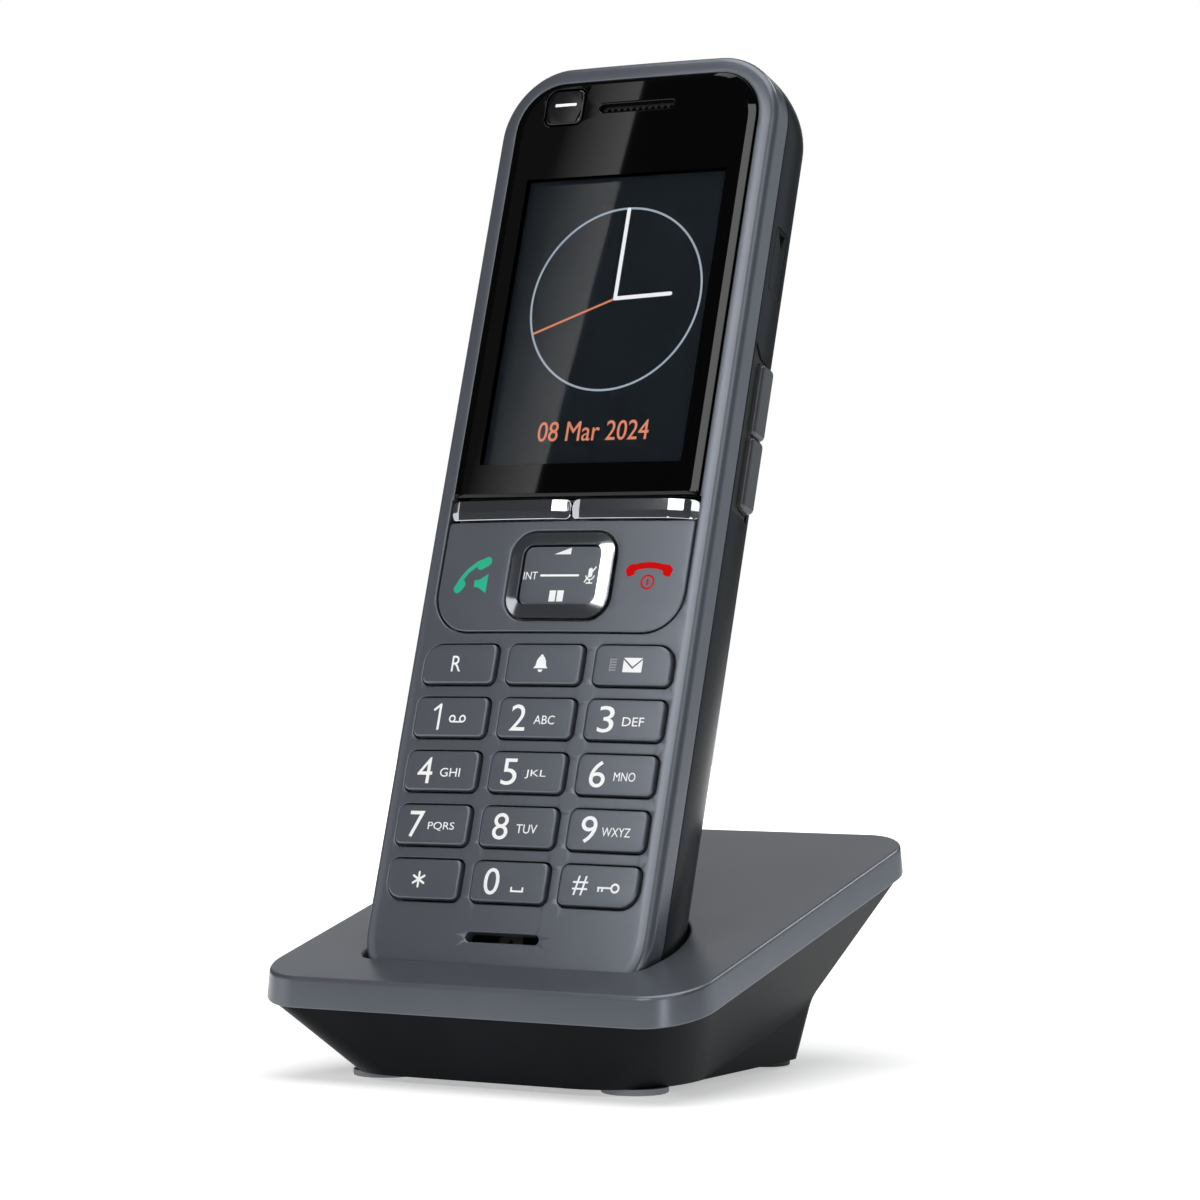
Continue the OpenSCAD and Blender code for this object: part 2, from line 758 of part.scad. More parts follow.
front_housing();
rear_housing();
battery_cover();
display_window();
display_module();
mid_frame();
earpiece_grille();
earpiece_speaker();
ringer_speaker();
microphone();
vibration_motor();
keypad_mat();
main_board();
antenna();
battery_cells();
battery_contacts();
handset_charge_contacts();
headset_socket();
headset_flap();
volume_bezel();
volume_key();
housing_screws();
message_key();
soft_key(-1);  // soft_key_left
soft_key(1);  // soft_key_right
call_key_plate();
nav_carrier();
nav_ring();
nav_pad();
for (i = [0:14]) keypad_key(i);
cradle_top();
cradle_body();
cradle_base_plate();
front_feet();
rear_feet();
ballast_weight();
charge_board();
contact_holder();
charge_pin(-1);  // charge_pin_left
charge_pin(1);  // charge_pin_right
power_socket();
cradle_screws();
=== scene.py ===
"""Cordless phone standing in its charging cradle: the looks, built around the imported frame.

Sizes are in millimetres and turned into metres when a mesh is made. Handset pieces are drawn
in the handset's own frame: x across, y along it from its lower end, z out of its front face.
"""
import json
import math

import bmesh
import bpy
import numpy as np
from mathutils import Matrix, Vector
from mathutils.geometry import delaunay_2d_cdt


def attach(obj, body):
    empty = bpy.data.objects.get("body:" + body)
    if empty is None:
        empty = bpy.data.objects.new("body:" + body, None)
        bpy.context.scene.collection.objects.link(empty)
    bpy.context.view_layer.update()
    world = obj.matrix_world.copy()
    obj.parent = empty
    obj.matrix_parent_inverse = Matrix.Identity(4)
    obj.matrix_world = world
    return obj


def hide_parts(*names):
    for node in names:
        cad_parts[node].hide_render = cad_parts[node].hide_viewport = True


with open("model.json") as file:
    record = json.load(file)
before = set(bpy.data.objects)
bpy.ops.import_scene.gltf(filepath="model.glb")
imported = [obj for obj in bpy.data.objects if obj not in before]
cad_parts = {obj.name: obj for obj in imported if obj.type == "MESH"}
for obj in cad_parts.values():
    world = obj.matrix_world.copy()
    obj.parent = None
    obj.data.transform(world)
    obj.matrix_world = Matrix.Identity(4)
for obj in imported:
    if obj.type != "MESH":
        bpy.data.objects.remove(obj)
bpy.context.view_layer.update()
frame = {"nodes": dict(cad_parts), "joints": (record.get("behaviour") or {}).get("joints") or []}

MM = 0.001

# ---------- driving dimensions, in millimetres ----------

HANDSET_W, HANDSET_L, HANDSET_T = 51.0, 155.7, 22.0
CORNER_R = 11.7
SEAM = 4.9
EDGE_R = 1.3
RIM_SLOPE, RIM_REACH = 6.5, 2.4
WALL = 1.6
FACE_T = 2.0
CROWN = 0.001
KEY_GAP = 0.3

WINDOW_W, WINDOW_LOW, WINDOW_HIGH, WINDOW_R = 44.4, 81.6, 152.6, 8.0
WINDOW_T = 1.3
PICTURE_W, PICTURE_H, PICTURE_MID = 36.72, 48.96, 111.5

KEY_W, KEY_H = 13.3, 6.3
COLUMN_PITCH, ROW_PITCH, TOP_ROW = 15.6, 8.65, 54.0
KEY_RISE = 0.6
KEY_EDGE_R, KEY_EDGE_DROP = 0.38, 0.32
# A key's foot is a flange under the housing, from KEY_FOOT up to its own top
KEY_FOOT, FOOT_TOP, SOFT_FOOT_TOP, MESSAGE_FOOT_TOP = -2.7, -2.5, -2.2, -2.1
FLANGE = 0.7
MESSAGE_RISE, SOFT_RISE = 0.08, 0.35
PLATE_FOOT, PLATE_EDGE_R, NAV_GAP, NAV_EDGE_R = -1.3, 0.3, 0.4, 0.35

PANEL_W, PANEL_LOW, PANEL_HIGH = 44.6, 59.45, 77.5
NAV_MID, NAV_W, NAV_H = 68.55, 18.4, 13.9
PAD_UP = -0.05
SOFT_H = 3.1
SOFT_LOW = PANEL_HIGH + 0.35
SOFT_HIGH = SOFT_LOW + SOFT_H

COVER_W, COVER_LOW, COVER_HIGH = 32.0, 30.8, 98.2
RINGER_V = 126.0
VOLUME_LOW, VOLUME_HIGH, VOLUME_DEPTH, VOLUME_H = 81.7, 105.8, 9.7, 4.1
FLAP_LOW, FLAP_HIGH, FLAP_DEPTH, FLAP_H = 117.5, 128.3, 9.2, 5.4

CRADLE_W, CRADLE_D, CRADLE_R = 77.9, 77.8, 9.0
CRADLE_MID_H = 25.7
SLOPE = math.tan(math.radians(14.4))
SKIRT_H = 4.6
SKIRT_WALL = 1.9
PLATE_T = 1.6
POCKET_GAP, POCKET_WALL = 0.5, 1.5
BODY_INSET = 0.65
BODY_WALL = 1.8
FLOOR_TOP = 2.6
FOOT_H = 1.0

# The handset's frame in the cradle's frame: its lower front edge is given here and its lean comes from the lift
# joint
DOCK = Vector((0, -29.85, 11.9))
lift_axis = next(j for j in frame["joints"] if j["name"] == "handset_lift")["axis"]
LEAN = math.atan2(lift_axis[1], lift_axis[2])
HANDSET = Matrix.Translation(DOCK * MM) @ Matrix.Rotation(math.pi / 2 - LEAN, 4, "X")
CRADLE = Matrix.Identity(4)


def side_frame(v, depth):
    """A frame on the handset's right side: x along the handset, y towards the front, z outwards."""
    axes = Matrix(((0, 0, 1, 0), (1, 0, 0, 0), (0, 1, 0, 0), (0, 0, 0, 1)))
    return HANDSET @ Matrix.Translation(Vector((HANDSET_W / 2, v, -depth)) * MM) @ axes


# ---------- outlines ----------


def rounded(w, h, radii, centre=(0, 0), steps=8, step=2.5):
    """Rectangle with its own corner radii: low left, low right, high right, high left."""
    points = []
    corners = [(-1, -1, 180), (1, -1, 270), (1, 1, 0), (-1, 1, 90)]
    for (sx, sy, start), r in zip(corners, radii):
        for k in range(steps + 1):
            a = math.radians(start + 90 * k / steps)
            points.append((centre[0] + sx * (w / 2 - r) + r * math.cos(a),
                           centre[1] + sy * (h / 2 - r) + r * math.sin(a)))
    return dense(np.array(points), step)


def dense(points, step):
    """The same outline with no stretch longer than step."""
    out = []
    for a, b in zip(points, np.roll(points, -1, axis=0)):
        n = max(1, math.ceil(np.linalg.norm(b - a) / step))
        out += [a + (b - a) * k / n for k in range(n)]
    return np.array(out)


def grow(outline, d):
    """The outline moved outwards by d. It runs counterclockwise."""
    before = outline - np.roll(outline, 1, axis=0)
    after = np.roll(outline, -1, axis=0) - outline
    normals = []
    for edge in (before, after):
        normal = np.stack([edge[:, 1], -edge[:, 0]], axis=1)
        normals.append(normal / np.linalg.norm(normal, axis=1, keepdims=True))
    middle = normals[0] + normals[1]
    middle /= np.linalg.norm(middle, axis=1, keepdims=True)
    reach = np.maximum((middle * normals[0]).sum(axis=1, keepdims=True), 0.4)
    return outline + d * middle / reach


def circle(r, centre=(0, 0), n=24):
    turn = np.linspace(0, 2 * math.pi, n, endpoint=False)
    return np.stack([centre[0] + r * np.cos(turn), centre[1] + r * np.sin(turn)], axis=1)


def polar(r, degrees):
    return r * math.cos(math.radians(degrees)), r * math.sin(math.radians(degrees))


def inside(points, outline):
    """Which points lie inside the outline."""
    x, y = points[:, 0:1], points[:, 1:2]
    x1, y1 = outline[:, 0], outline[:, 1]
    x2, y2 = np.roll(x1, -1), np.roll(y1, -1)
    crosses = (y1 > y) != (y2 > y)
    rise = np.where(y2 == y1, 1e-12, y2 - y1)
    return (crosses & (x < (x2 - x1) * (y - y1) / rise + x1)).sum(axis=1) % 2 == 1


def key_centre(i):
    return (i % 3 - 1) * COLUMN_PITCH, TOP_ROW - (i // 3) * ROW_PITCH


def key_outline(i):
    radii = [2.8 if i == corner else 1.1 for corner in (12, 14, 2, 0)]
    return rounded(KEY_W, KEY_H, radii, key_centre(i), steps=6)


handset_outline = rounded(HANDSET_W, HANDSET_L, [CORNER_R] * 4, (0, HANDSET_L / 2), steps=18)
window_outline = rounded(WINDOW_W, WINDOW_HIGH - WINDOW_LOW, [0.6, 0.6, WINDOW_R, WINDOW_R],
                         (0, (WINDOW_LOW + WINDOW_HIGH) / 2), steps=10)
panel_outline = rounded(PANEL_W, PANEL_HIGH - PANEL_LOW, [6.5, 6.5, 0.6, 0.6],
                        (0, (PANEL_LOW + PANEL_HIGH) / 2))
message_outline = rounded(6.8, 5.9, [1.2, 1.2, 1.2, 1.8], (-13.4, 148.4), steps=6)
nav_outline = rounded(NAV_W, NAV_H, [3.6] * 4, (0, NAV_MID))
ear_outline = rounded(13.8, 1.3, [0.64] * 4, (0, 147.8), steps=6)
mic_outline = rounded(13, 1.5, [0.74] * 4, (0, 10.76), steps=6)
cover_outline = rounded(COVER_W, COVER_HIGH - COVER_LOW, [2.3] * 4, (0, (COVER_LOW + COVER_HIGH) / 2))
skirt_outline = rounded(CRADLE_W, CRADLE_D, [CRADLE_R] * 4, steps=14)

# ---------- surfaces: each gives the height of a point that stands up from it ----------


def level(x, y, up):
    return up + 0 * x


def crowned(x, y, up):
    """The handset's front face, which falls away to both sides."""
    return up - CROWN * x ** 2


def footed(x, y, up):
    """Level at a key's foot, crowned above it."""
    return level(x, y, up) if up < FOOT_TOP + 0.05 else crowned(x, y, up)


def front_side(x, y, up):
    """The crown fades out down the front housing's side, so that the seam stays straight."""
    return up - CROWN * x ** 2 * np.clip((up + SEAM) / (SEAM - EDGE_R), 0, 1)


def back_depth(x, y):
    """How deep the handset's rounded back lies under the front face."""
    qx = np.abs(x) - (HANDSET_W / 2 - CORNER_R)
    qy = np.abs(y - HANDSET_L / 2) - (HANDSET_L / 2 - CORNER_R)
    outside = np.hypot(np.maximum(qx, 0), np.maximum(qy, 0)) + np.minimum(np.maximum(qx, qy), 0)
    t = np.clip((CORNER_R - outside) / CORNER_R, 0, 1)
    return SEAM + (HANDSET_T - SEAM) * np.sqrt(1 - (1 - t) ** 2)


def back(x, y, up):
    return -back_depth(x, y) - up


def side(depth):
    """The handset's right side wall, for pieces drawn in side_frame at that depth."""
    def place(x, y, up):
        sine = np.clip((depth - y - SEAM) / (HANDSET_T - SEAM), 0, 1)
        return up - CORNER_R * (1 - np.sqrt(1 - sine ** 2))
    return place


def tilted(x, y, up):
    """The cradle's tilted top."""
    return CRADLE_MID_H + SLOPE * y + up


# ---------- mesh building ----------


def edge_round(r, top, drop=None, steps=4):
    """Profile of a rounded edge, from the wall up to the top: (grown by, raised by)."""
    drop = r if drop is None else drop
    turns = [math.pi / 2 * k / steps for k in range(steps + 1)]
    return [(-r * (1 - math.cos(a)), top - drop * (1 - math.sin(a))) for a in turns]


def sloped_round(r, angle, reach, steps=8):
    """Profile from the wall round a tight edge onto a slope that meets the flat face at -reach."""
    slope = math.tan(math.radians(angle))
    near = r * (1 - math.sin(math.radians(angle)))
    down = [(-reach + 0.45, -0.45 * slope * 0.4), (-near - 0.35, -(reach - near - 0.35) * slope * 0.9)]
    height = -(reach - near) * slope - r * math.cos(math.radians(angle))
    turns = [math.radians(90 - (90 - angle) * k / steps) for k in range(steps + 1)]
    edge = [(-r * (1 - math.sin(a)), height + r * math.cos(a)) for a in turns]
    return edge + down[::-1] + [(-reach, 0)]


def hole_round(r, bottom, steps=3):
    """Profile of a hole's rounded edge, from the face down the hole's wall to the bottom."""
    turns = [math.pi / 2 * k / steps for k in range(steps + 1)]
    return [(r * (1 - math.sin(a)), -r * (1 - math.cos(a))) for a in turns] + [(0, bottom)]


def triangulate(loops, extra=None):
    """Triangles over outlines and loose points: flat points, faces and the faces' centres."""
    edges, start = [], 0
    for loop in loops:
        edges += [(start + i, start + (i + 1) % len(loop)) for i in range(len(loop))]
        start += len(loop)
    points = np.vstack(loops if extra is None else loops + [extra])
    flat, _, faces, *_ = delaunay_2d_cdt([Vector(p) for p in points], edges, [], 1, 1e-7)
    flat = np.array([tuple(p) for p in flat])
    return flat, faces, np.array([flat[list(f)].mean(axis=0) for f in faces])


class Shape:
    """Vertices and faces in millimetres, in a piece's own frame."""

    def __init__(self):
        self.verts = []
        self.faces = []
        self.marks = []

    def ring(self, points):
        start = len(self.verts)
        self.verts += [tuple(float(c) for c in p) for p in points]
        return list(range(start, len(self.verts)))

    def face(self, corners, mark=0):
        self.faces.append(tuple(corners))
        self.marks.append(mark)

    def bridge(self, low, high, mark=0):
        for i in range(len(low)):
            j = (i + 1) % len(low)
            self.face((low[i], low[j], high[j], high[i]), mark)

    def rings(self, outline, profile, place=level, mark=0):
        """Rings joined into a wall. profile lists (grown by, raised by)."""
        made = []
        for out, up in profile:
            flat = grow(outline, out) if out else outline
            z = place(flat[:, 0], flat[:, 1], up)
            made.append(self.ring(np.column_stack([flat, z])))
        for low, high in zip(made, made[1:]):
            self.bridge(low, high, mark)
        return made

    def sheet(self, outer, holes=(), up=0, place=level, spacing=2.5, mark=0, lines=()):
        """A face inside an outline, with holes, that follows the surface. mark may be a function
        of the place, and lines are outlines across which it changes."""
        loops = [np.asarray(outer)] + [np.asarray(h) for h in holes]
        drawn, extra = loops + list(lines), None
        if spacing:
            low, high = loops[0].min(axis=0), loops[0].max(axis=0)
            counts = np.maximum(np.round((high - low) / spacing), 1).astype(int)
            xs, ys = (low[k] + (high[k] - low[k]) * (np.arange(counts[k]) + 0.5) / counts[k]
                      for k in (0, 1))
            grid = np.array([(x, y) for x in xs for y in ys])
            keep = inside(grid, loops[0])
            for hole in loops[1:]:
                keep &= ~inside(grid, hole)
            grid = grid[keep]
            if len(grid):
                gaps = np.linalg.norm(grid[:, None, :] - np.vstack(drawn)[None, :, :], axis=2).min(axis=1)
                extra = grid[gaps > 0.5 * spacing]
        flat, faces, centres = triangulate(drawn, extra)
        drop = np.zeros(len(faces), bool)
        for hole in loops[1:]:
            drop |= inside(centres, hole)
        ids = self.ring(np.column_stack([flat, place(flat[:, 0], flat[:, 1], up)]))
        for f, centre, gone in zip(faces, centres, drop):
            if not gone:
                self.face([ids[i] for i in f], mark(*centre) if callable(mark) else mark)

    def stamp(self, flat, faces, low, high, place=level, mark=0):
        """A thin solid print or pad: flat faces given a thickness."""
        z = [place(flat[:, 0], flat[:, 1], up) for up in (low, high)]
        bottom = self.ring(np.column_stack([flat, z[0]]))
        top = self.ring(np.column_stack([flat, z[1]]))
        used = {}
        for f in faces:
            self.face([top[i] for i in f], mark)
            self.face([bottom[i] for i in reversed(f)], mark)
            for a, b in zip(f, f[1:] + f[:1]):
                used[(a, b)] = used.get((a, b), 0) + 1
        for (a, b) in used:
            if (b, a) not in used:
                self.face((bottom[a], bottom[b], top[b], top[a]), mark)

    def take(self, bm, mark=0):
        """Adds a bmesh that is in millimetres."""
        bm.verts.index_update()
        ids = self.ring([v.co for v in bm.verts])
        for f in bm.faces:
            self.face([ids[v.index] for v in f.verts], mark)

    def bmesh(self, scale=1.0, merge=0.002):
        bm = bmesh.new()
        made = [bm.verts.new(Vector(v) * scale) for v in self.verts]
        for corners, mark in zip(self.faces, self.marks):
            if len(set(corners)) > 2:
                bm.faces.new([made[i] for i in corners]).material_index = mark
        bmesh.ops.remove_doubles(bm, verts=bm.verts, dist=merge * scale)
        bmesh.ops.dissolve_degenerate(bm, edges=bm.edges, dist=0.0005 * scale)
        bmesh.ops.recalc_face_normals(bm, faces=bm.faces)
        return bm


def mesh_object(name, bm):
    """Puts a bmesh in the scene as an object, and frees it."""
    mesh = bpy.data.meshes.new(name)
    bm.to_mesh(mesh)
    bm.free()
    obj = bpy.data.objects.new(name, mesh)
    bpy.context.scene.collection.objects.link(obj)
    return obj


def piece(name, shape, materials, body, matrix=HANDSET, replaces=(), sharp=32, cuts=(), merge=0.002):
    """Makes the mesh object, gives it its materials and puts it on its body."""
    obj = mesh_object(name, shape.bmesh(MM, merge))
    mesh = obj.data
    for m in materials:
        mesh.materials.append(m)
    obj.matrix_world = matrix
    for cutter in cuts:
        cut = obj.modifiers.new("cut", "BOOLEAN")
        cut.object = cutter
        cut.solver = "EXACT"
    if cuts:
        bpy.context.view_layer.update()
        baked = bpy.data.meshes.new_from_object(obj.evaluated_get(bpy.context.evaluated_depsgraph_get()))
        obj.modifiers.clear()
        obj.data = baked
        mesh = baked
    mesh.shade_smooth()
    mesh.set_sharp_from_angle(angle=math.radians(sharp))
    weighted = obj.modifiers.new("even_shading", "WEIGHTED_NORMAL")
    weighted.keep_sharp = True
    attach(obj, body)
    if replaces:
        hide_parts(*replaces)
    return obj


def cutter(shape, matrix):
    """A helper solid for a cut. It is removed once the cut is made."""
    obj = mesh_object("cutter", shape.bmesh(MM))
    obj.matrix_world = matrix
    bpy.context.view_layer.update()
    return obj


def drop_cutters(cutters):
    for c in cutters:
        bpy.data.objects.remove(c, do_unlink=True)


def contact_cutters(r, start):
    """Round cutters at the two charging contacts, along the handset from start."""
    drills = []
    for x in (-CONTACT_X, CONTACT_X):
        place = Matrix.Translation(Vector((x, start, -CONTACT_DEPTH)) * MM)
        way = HANDSET @ place @ Matrix.Rotation(-math.pi / 2, 4, "X")
        drills.append(cutter(block(circle(r, n=32), 0, CONTACT_HOLE_L), way))
    return drills


def block(outline, low, high):
    shape = Shape()
    shape.rings(outline, [(0, low), (0, high)])
    shape.sheet(outline, up=low, spacing=None)
    shape.sheet(outline, up=high, spacing=None)
    return shape


# ---------- prints: legends and icons ----------


def text_faces(text, height, width=None, centre=(0, 0)):
    """A word as flat faces, scaled to a height and, if given, a width."""
    curve = bpy.data.curves.new("print", "FONT")
    curve.body = text
    curve.resolution_u = 4
    obj = bpy.data.objects.new("print", curve)
    bpy.context.scene.collection.objects.link(obj)
    bpy.context.view_layer.update()
    mesh = bpy.data.meshes.new_from_object(obj.evaluated_get(bpy.context.evaluated_depsgraph_get()))
    flat = np.array([v.co[:2] for v in mesh.vertices])
    faces = [list(p.vertices) for p in mesh.polygons]
    bpy.data.objects.remove(obj)
    bpy.data.meshes.remove(mesh)
    low, high = flat.min(axis=0), flat.max(axis=0)
    scale_y = height / (high[1] - low[1])
    scale_x = scale_y if width is None else width / (high[0] - low[0])
    return (flat - (low + high) / 2) * (scale_x, scale_y) + np.array(centre), faces


def union_faces(parts, holes=()):
    """Flat faces that cover several outlines, less some holes."""
    flat, faces, centres = triangulate([np.asarray(p) for p in list(parts) + list(holes)])
    keep = np.zeros(len(faces), bool)
    for part in parts:
        keep |= inside(centres, np.asarray(part))
    for hole in holes:
        keep &= ~inside(centres, np.asarray(hole))
    return flat, [list(f) for f, k in zip(faces, keep) if k]


def stroke(points, width, steps=5, taper=None):
    """Outline of a line drawn with a round pen."""
    points = np.array(points, float)
    widths = np.full(len(points), width / 2) if taper is None else np.array(taper) / 2
    ways = np.gradient(points, axis=0)
    ways /= np.linalg.norm(ways, axis=1, keepdims=True)
    normals = np.column_stack([-ways[:, 1], ways[:, 0]])
    right = points - normals * widths[:, None]
    left = points + normals * widths[:, None]

    def cap(centre, start, r):
        turns = [start + math.pi * k / (steps + 1) for k in range(1, steps + 1)]
        return [centre + r * np.array([math.cos(a), math.sin(a)]) for a in turns]

    ahead = math.atan2(-normals[-1][1], -normals[-1][0])
    behind = math.atan2(normals[0][1], normals[0][0])
    return np.array(list(right) + cap(points[-1], ahead, widths[-1])
                    + list(left[::-1]) + cap(points[0], behind, widths[0]))


def arc(centre, r, start, end, n=12):
    turns = np.radians(np.linspace(start, end, n))
    return np.column_stack([centre[0] + r * np.cos(turns), centre[1] + r * np.sin(turns)])


def moved(outline, by, turn=0.0, size=1.0):
    c, s = math.cos(math.radians(turn)), math.sin(math.radians(turn))
    return np.asarray(outline) @ np.array([[c, s], [-s, c]]) * size + np.array(by)


PRINT_LOW, PRINT_HIGH = -0.04, 0.015


def print_on(name, groups, materials, body, place):
    """Prints: groups lists (flat points, faces) or (flat points, faces, material index)."""
    shape = Shape()
    for flat, faces, *mark in groups:
        shape.stamp(flat, faces, PRINT_LOW, PRINT_HIGH, place, *mark)
    piece(name, shape, materials, body)


# ---------- materials ----------


GRAIN_DEPTH = 0.02


def set_inputs(node, values):
    for name, value in values.items():
        node.inputs[name].default_value = value
    return node


def add_node(nodes, kind, values=None):
    return set_inputs(nodes.new("ShaderNode" + kind), values or {})


def material(name, colour, rough, metallic=0.0, other=None, mottle=90.0, grain=0.0, grain_size=0.15,
             rough_vary=0.04, coat=0.0, coat_rough=0.05, specular=0.5, emission=None, light=0.0,
             transmission=0.0, ior=1.5):
    """A procedural material: colour drifts between two tones, roughness varies, fine grain as bump."""
    mat = bpy.data.materials.new(name)
    mat.use_nodes = True
    nodes, links = mat.node_tree.nodes, mat.node_tree.links
    shader = nodes["Principled BSDF"]
    place = add_node(nodes, "TexCoord")
    drift = add_node(nodes, "TexNoise", {"Scale": mottle, "Detail": 4})
    links.new(place.outputs["Object"], drift.inputs["Vector"])
    ramp = add_node(nodes, "ValToRGB")
    other = tuple(c * 0.9 for c in colour) if other is None else other
    ramp.color_ramp.elements[0].position, ramp.color_ramp.elements[1].position = 0.35, 0.65
    ramp.color_ramp.elements[0].color = (*other, 1)
    ramp.color_ramp.elements[1].color = (*colour, 1)
    links.new(drift.outputs["Fac"], ramp.inputs["Fac"])
    links.new(ramp.outputs["Color"], shader.inputs["Base Color"])
    speck = add_node(nodes, "TexNoise", {"Scale": 1 / (grain_size * MM), "Detail": 2})
    links.new(place.outputs["Object"], speck.inputs["Vector"])
    spread = add_node(nodes, "MapRange", {"To Min": max(rough - rough_vary, 0),
                                          "To Max": rough + rough_vary})
    links.new(speck.outputs["Fac"], spread.inputs["Value"])
    links.new(spread.outputs["Result"], shader.inputs["Roughness"])
    if grain:
        bump = add_node(nodes, "Bump", {"Strength": grain, "Distance": GRAIN_DEPTH * MM})
        links.new(speck.outputs["Fac"], bump.inputs["Height"])
        links.new(bump.outputs["Normal"], shader.inputs["Normal"])
    set_inputs(shader, {"Metallic": metallic, "Specular IOR Level": specular, "IOR": ior, "Coat Weight": coat,
                        "Coat Roughness": coat_rough, "Transmission Weight": transmission})
    if emission:
        set_inputs(shader, {"Emission Color": (*emission, 1), "Emission Strength": light})
    return mat


anthracite = material("anthracite_satin", (0.135, 0.148, 0.172), 0.3, metallic=0.55, other=(0.125, 0.138, 0.162),
                      grain=0.25, grain_size=0.12, rough_vary=0.05, coat=0.15, coat_rough=0.25)
dark_grey = material("dark_grey_satin", (0.015, 0.0175, 0.02), 0.3, other=(0.013, 0.015, 0.017),
                     grain=0.3, grain_size=0.16, specular=0.25, ior=1.3)
black_satin = material("black_satin", (0.008, 0.0095, 0.0115), 0.42, other=(0.007, 0.008, 0.0095),
                       grain=0.3, grain_size=0.16, specular=0.1, ior=1.27)
volume_black = material("volume_key_black", (0.075, 0.078, 0.085), 0.25, metallic=0.3, grain=0.1)
gloss_black = material("gloss_black", (0.004, 0.004, 0.005), 0.07, rough_vary=0.015)
window_black = material("window_print", (0.001, 0.001, 0.0013), 0.015, rough_vary=0.0, ior=1.36)
glass = material("window_glass", (1.0, 1.0, 1.0), 0.0, other=(0.98, 0.985, 0.99), rough_vary=0.0,
                 transmission=1.0, ior=1.02)
lcd = material("lcd", (0.008, 0.0105, 0.013), 0.015, other=(0.0075, 0.01, 0.012), rough_vary=0.0, ior=1.36,
               emission=(0.55, 0.75, 1.0), light=0.005)
chrome_dark = material("chrome_dark", (0.72, 0.74, 0.78), 0.09, metallic=1.0, rough_vary=0.01)
chrome = material("chrome_ring", (0.72, 0.74, 0.78), 0.12, metallic=1.0, rough_vary=0.01)
inner_plastic = material("inner_plastic", (0.012, 0.012, 0.013), 0.6, grain=0.3)
steel = material("satin_steel", (0.5, 0.5, 0.52), 0.3, metallic=1.0, grain=0.15)
ballast = material("ballast_steel", (0.3, 0.3, 0.32), 0.55, metallic=1.0, grain=0.4)
silicone = material("silicone", (0.5, 0.5, 0.48), 0.55, grain=0.2)
board = material("circuit_board", (0.006, 0.016, 0.01), 0.35, other=(0.005, 0.013, 0.008), mottle=900)
gold = material("gold_contacts", (0.8, 0.6, 0.25), 0.22, metallic=1.0)
jacket = material("cell_jacket", (0.03, 0.2, 0.08), 0.25, grain=0.05)
grey_rubber = material("grey_rubber", (0.25, 0.26, 0.275), 0.6, grain=0.4)
black_rubber = material("black_rubber", (0.012, 0.012, 0.012), 0.6, grain=0.4)
print_white = material("print_white", (0.95, 0.95, 0.95), 0.5, other=(0.92, 0.92, 0.92))
print_grey = material("print_grey", (0.3, 0.31, 0.33), 0.5)
print_green = material("print_green", (0.03, 0.45, 0.26), 0.5, specular=0.15)
print_red = material("print_red", (0.62, 0.002, 0.003), 0.5, specular=0.05)
lit_white = material("lit_white", (0.02, 0.02, 0.02), 0.4, emission=(0.95, 0.97, 1.0), light=0.85)
lit_ring = material("lit_ring", (0.02, 0.02, 0.02), 0.4, emission=(0.42, 0.5, 0.58), light=0.75)
lit_orange = material("lit_orange", (0.02, 0.02, 0.02), 0.4, emission=(0.85, 0.27, 0.14), light=0.75)

# CAD nodes that stay as they are get their finish here
NODE_FINISH = {
    "display_module": lcd, "mid_frame": inner_plastic, "contact_holder": inner_plastic,
    "headset_socket": inner_plastic, "earpiece_grille": black_rubber, "earpiece_speaker": steel,
    "ringer_speaker": steel, "microphone": black_rubber, "vibration_motor": steel, "housing_screws": steel,
    "cradle_screws": steel, "nav_carrier": steel, "ballast_weight": ballast, "keypad_mat": silicone,
    "main_board": board, "charge_board": board, "antenna": gold, "battery_contacts": gold,
    "handset_charge_contacts": gold, "charge_pin_left": gold, "charge_pin_right": gold,
    "battery_cells": jacket, "power_socket": gloss_black, "cradle_base_plate": black_satin,
}
for node_name, finish in NODE_FINISH.items():
    node = frame["nodes"][node_name]
    node.data.materials.clear()
    node.data.materials.append(finish)

# ---------- handset housings ----------

WINDOW_GAP = 0.15
TRAY_OUT, TRAY_IN = -20.5, -19.3
BAY_W, BAY_LOW, BAY_HIGH, BAY_FLOOR = 23.6, 42.5, 92.0, -9.6
BAY_WALL = 1.2
SCREW_X, SCREW_V = 14.0, (36.5, 95.0)
CONTACT_X, CONTACT_DEPTH, CONTACT_R = 9.0, 8.5, 2.3
PIN_HOLE_R, CONTACT_HOLE_L = 1.3, 8
SEAM_LIP = 0.5
SEAM_ROUND = [(-0.12, 0.0), (-0.035, 0.035), (0.0, 0.12)]

bay_outline = rounded(BAY_W, BAY_HIGH - BAY_LOW, [0.8] * 4, (0, (BAY_LOW + BAY_HIGH) / 2), steps=4, step=8)
ringer_slots = [rounded(16 - 2 * abs(i), 1.3, [0.64] * 4, (0, RINGER_V + 3 * i), steps=6)
                for i in range(-2, 3)]


def combined_opening():
    """One opening for the call key plate, the display keys and the window."""
    low, high = grow(panel_outline, KEY_GAP), grow(window_outline, WINDOW_GAP)
    over = np.nonzero(low[:, 1] > PANEL_HIGH - 1)[0]
    head, tail = low[:over[0]], low[over[-1] + 1:]
    top = high[high[:, 1] > WINDOW_LOW + 1]
    step_v = WINDOW_LOW - 0.2
    wide, narrow = PANEL_W / 2 + KEY_GAP, WINDOW_W / 2 + WINDOW_GAP
    right = [(wide, PANEL_HIGH), (wide, step_v), (narrow, step_v + 0.15)]
    left = [(-x, v) for x, v in reversed(right)]
    return dense(np.array([*map(tuple, head), *right, *map(tuple, top), *left, *map(tuple, tail)]), 2.5)


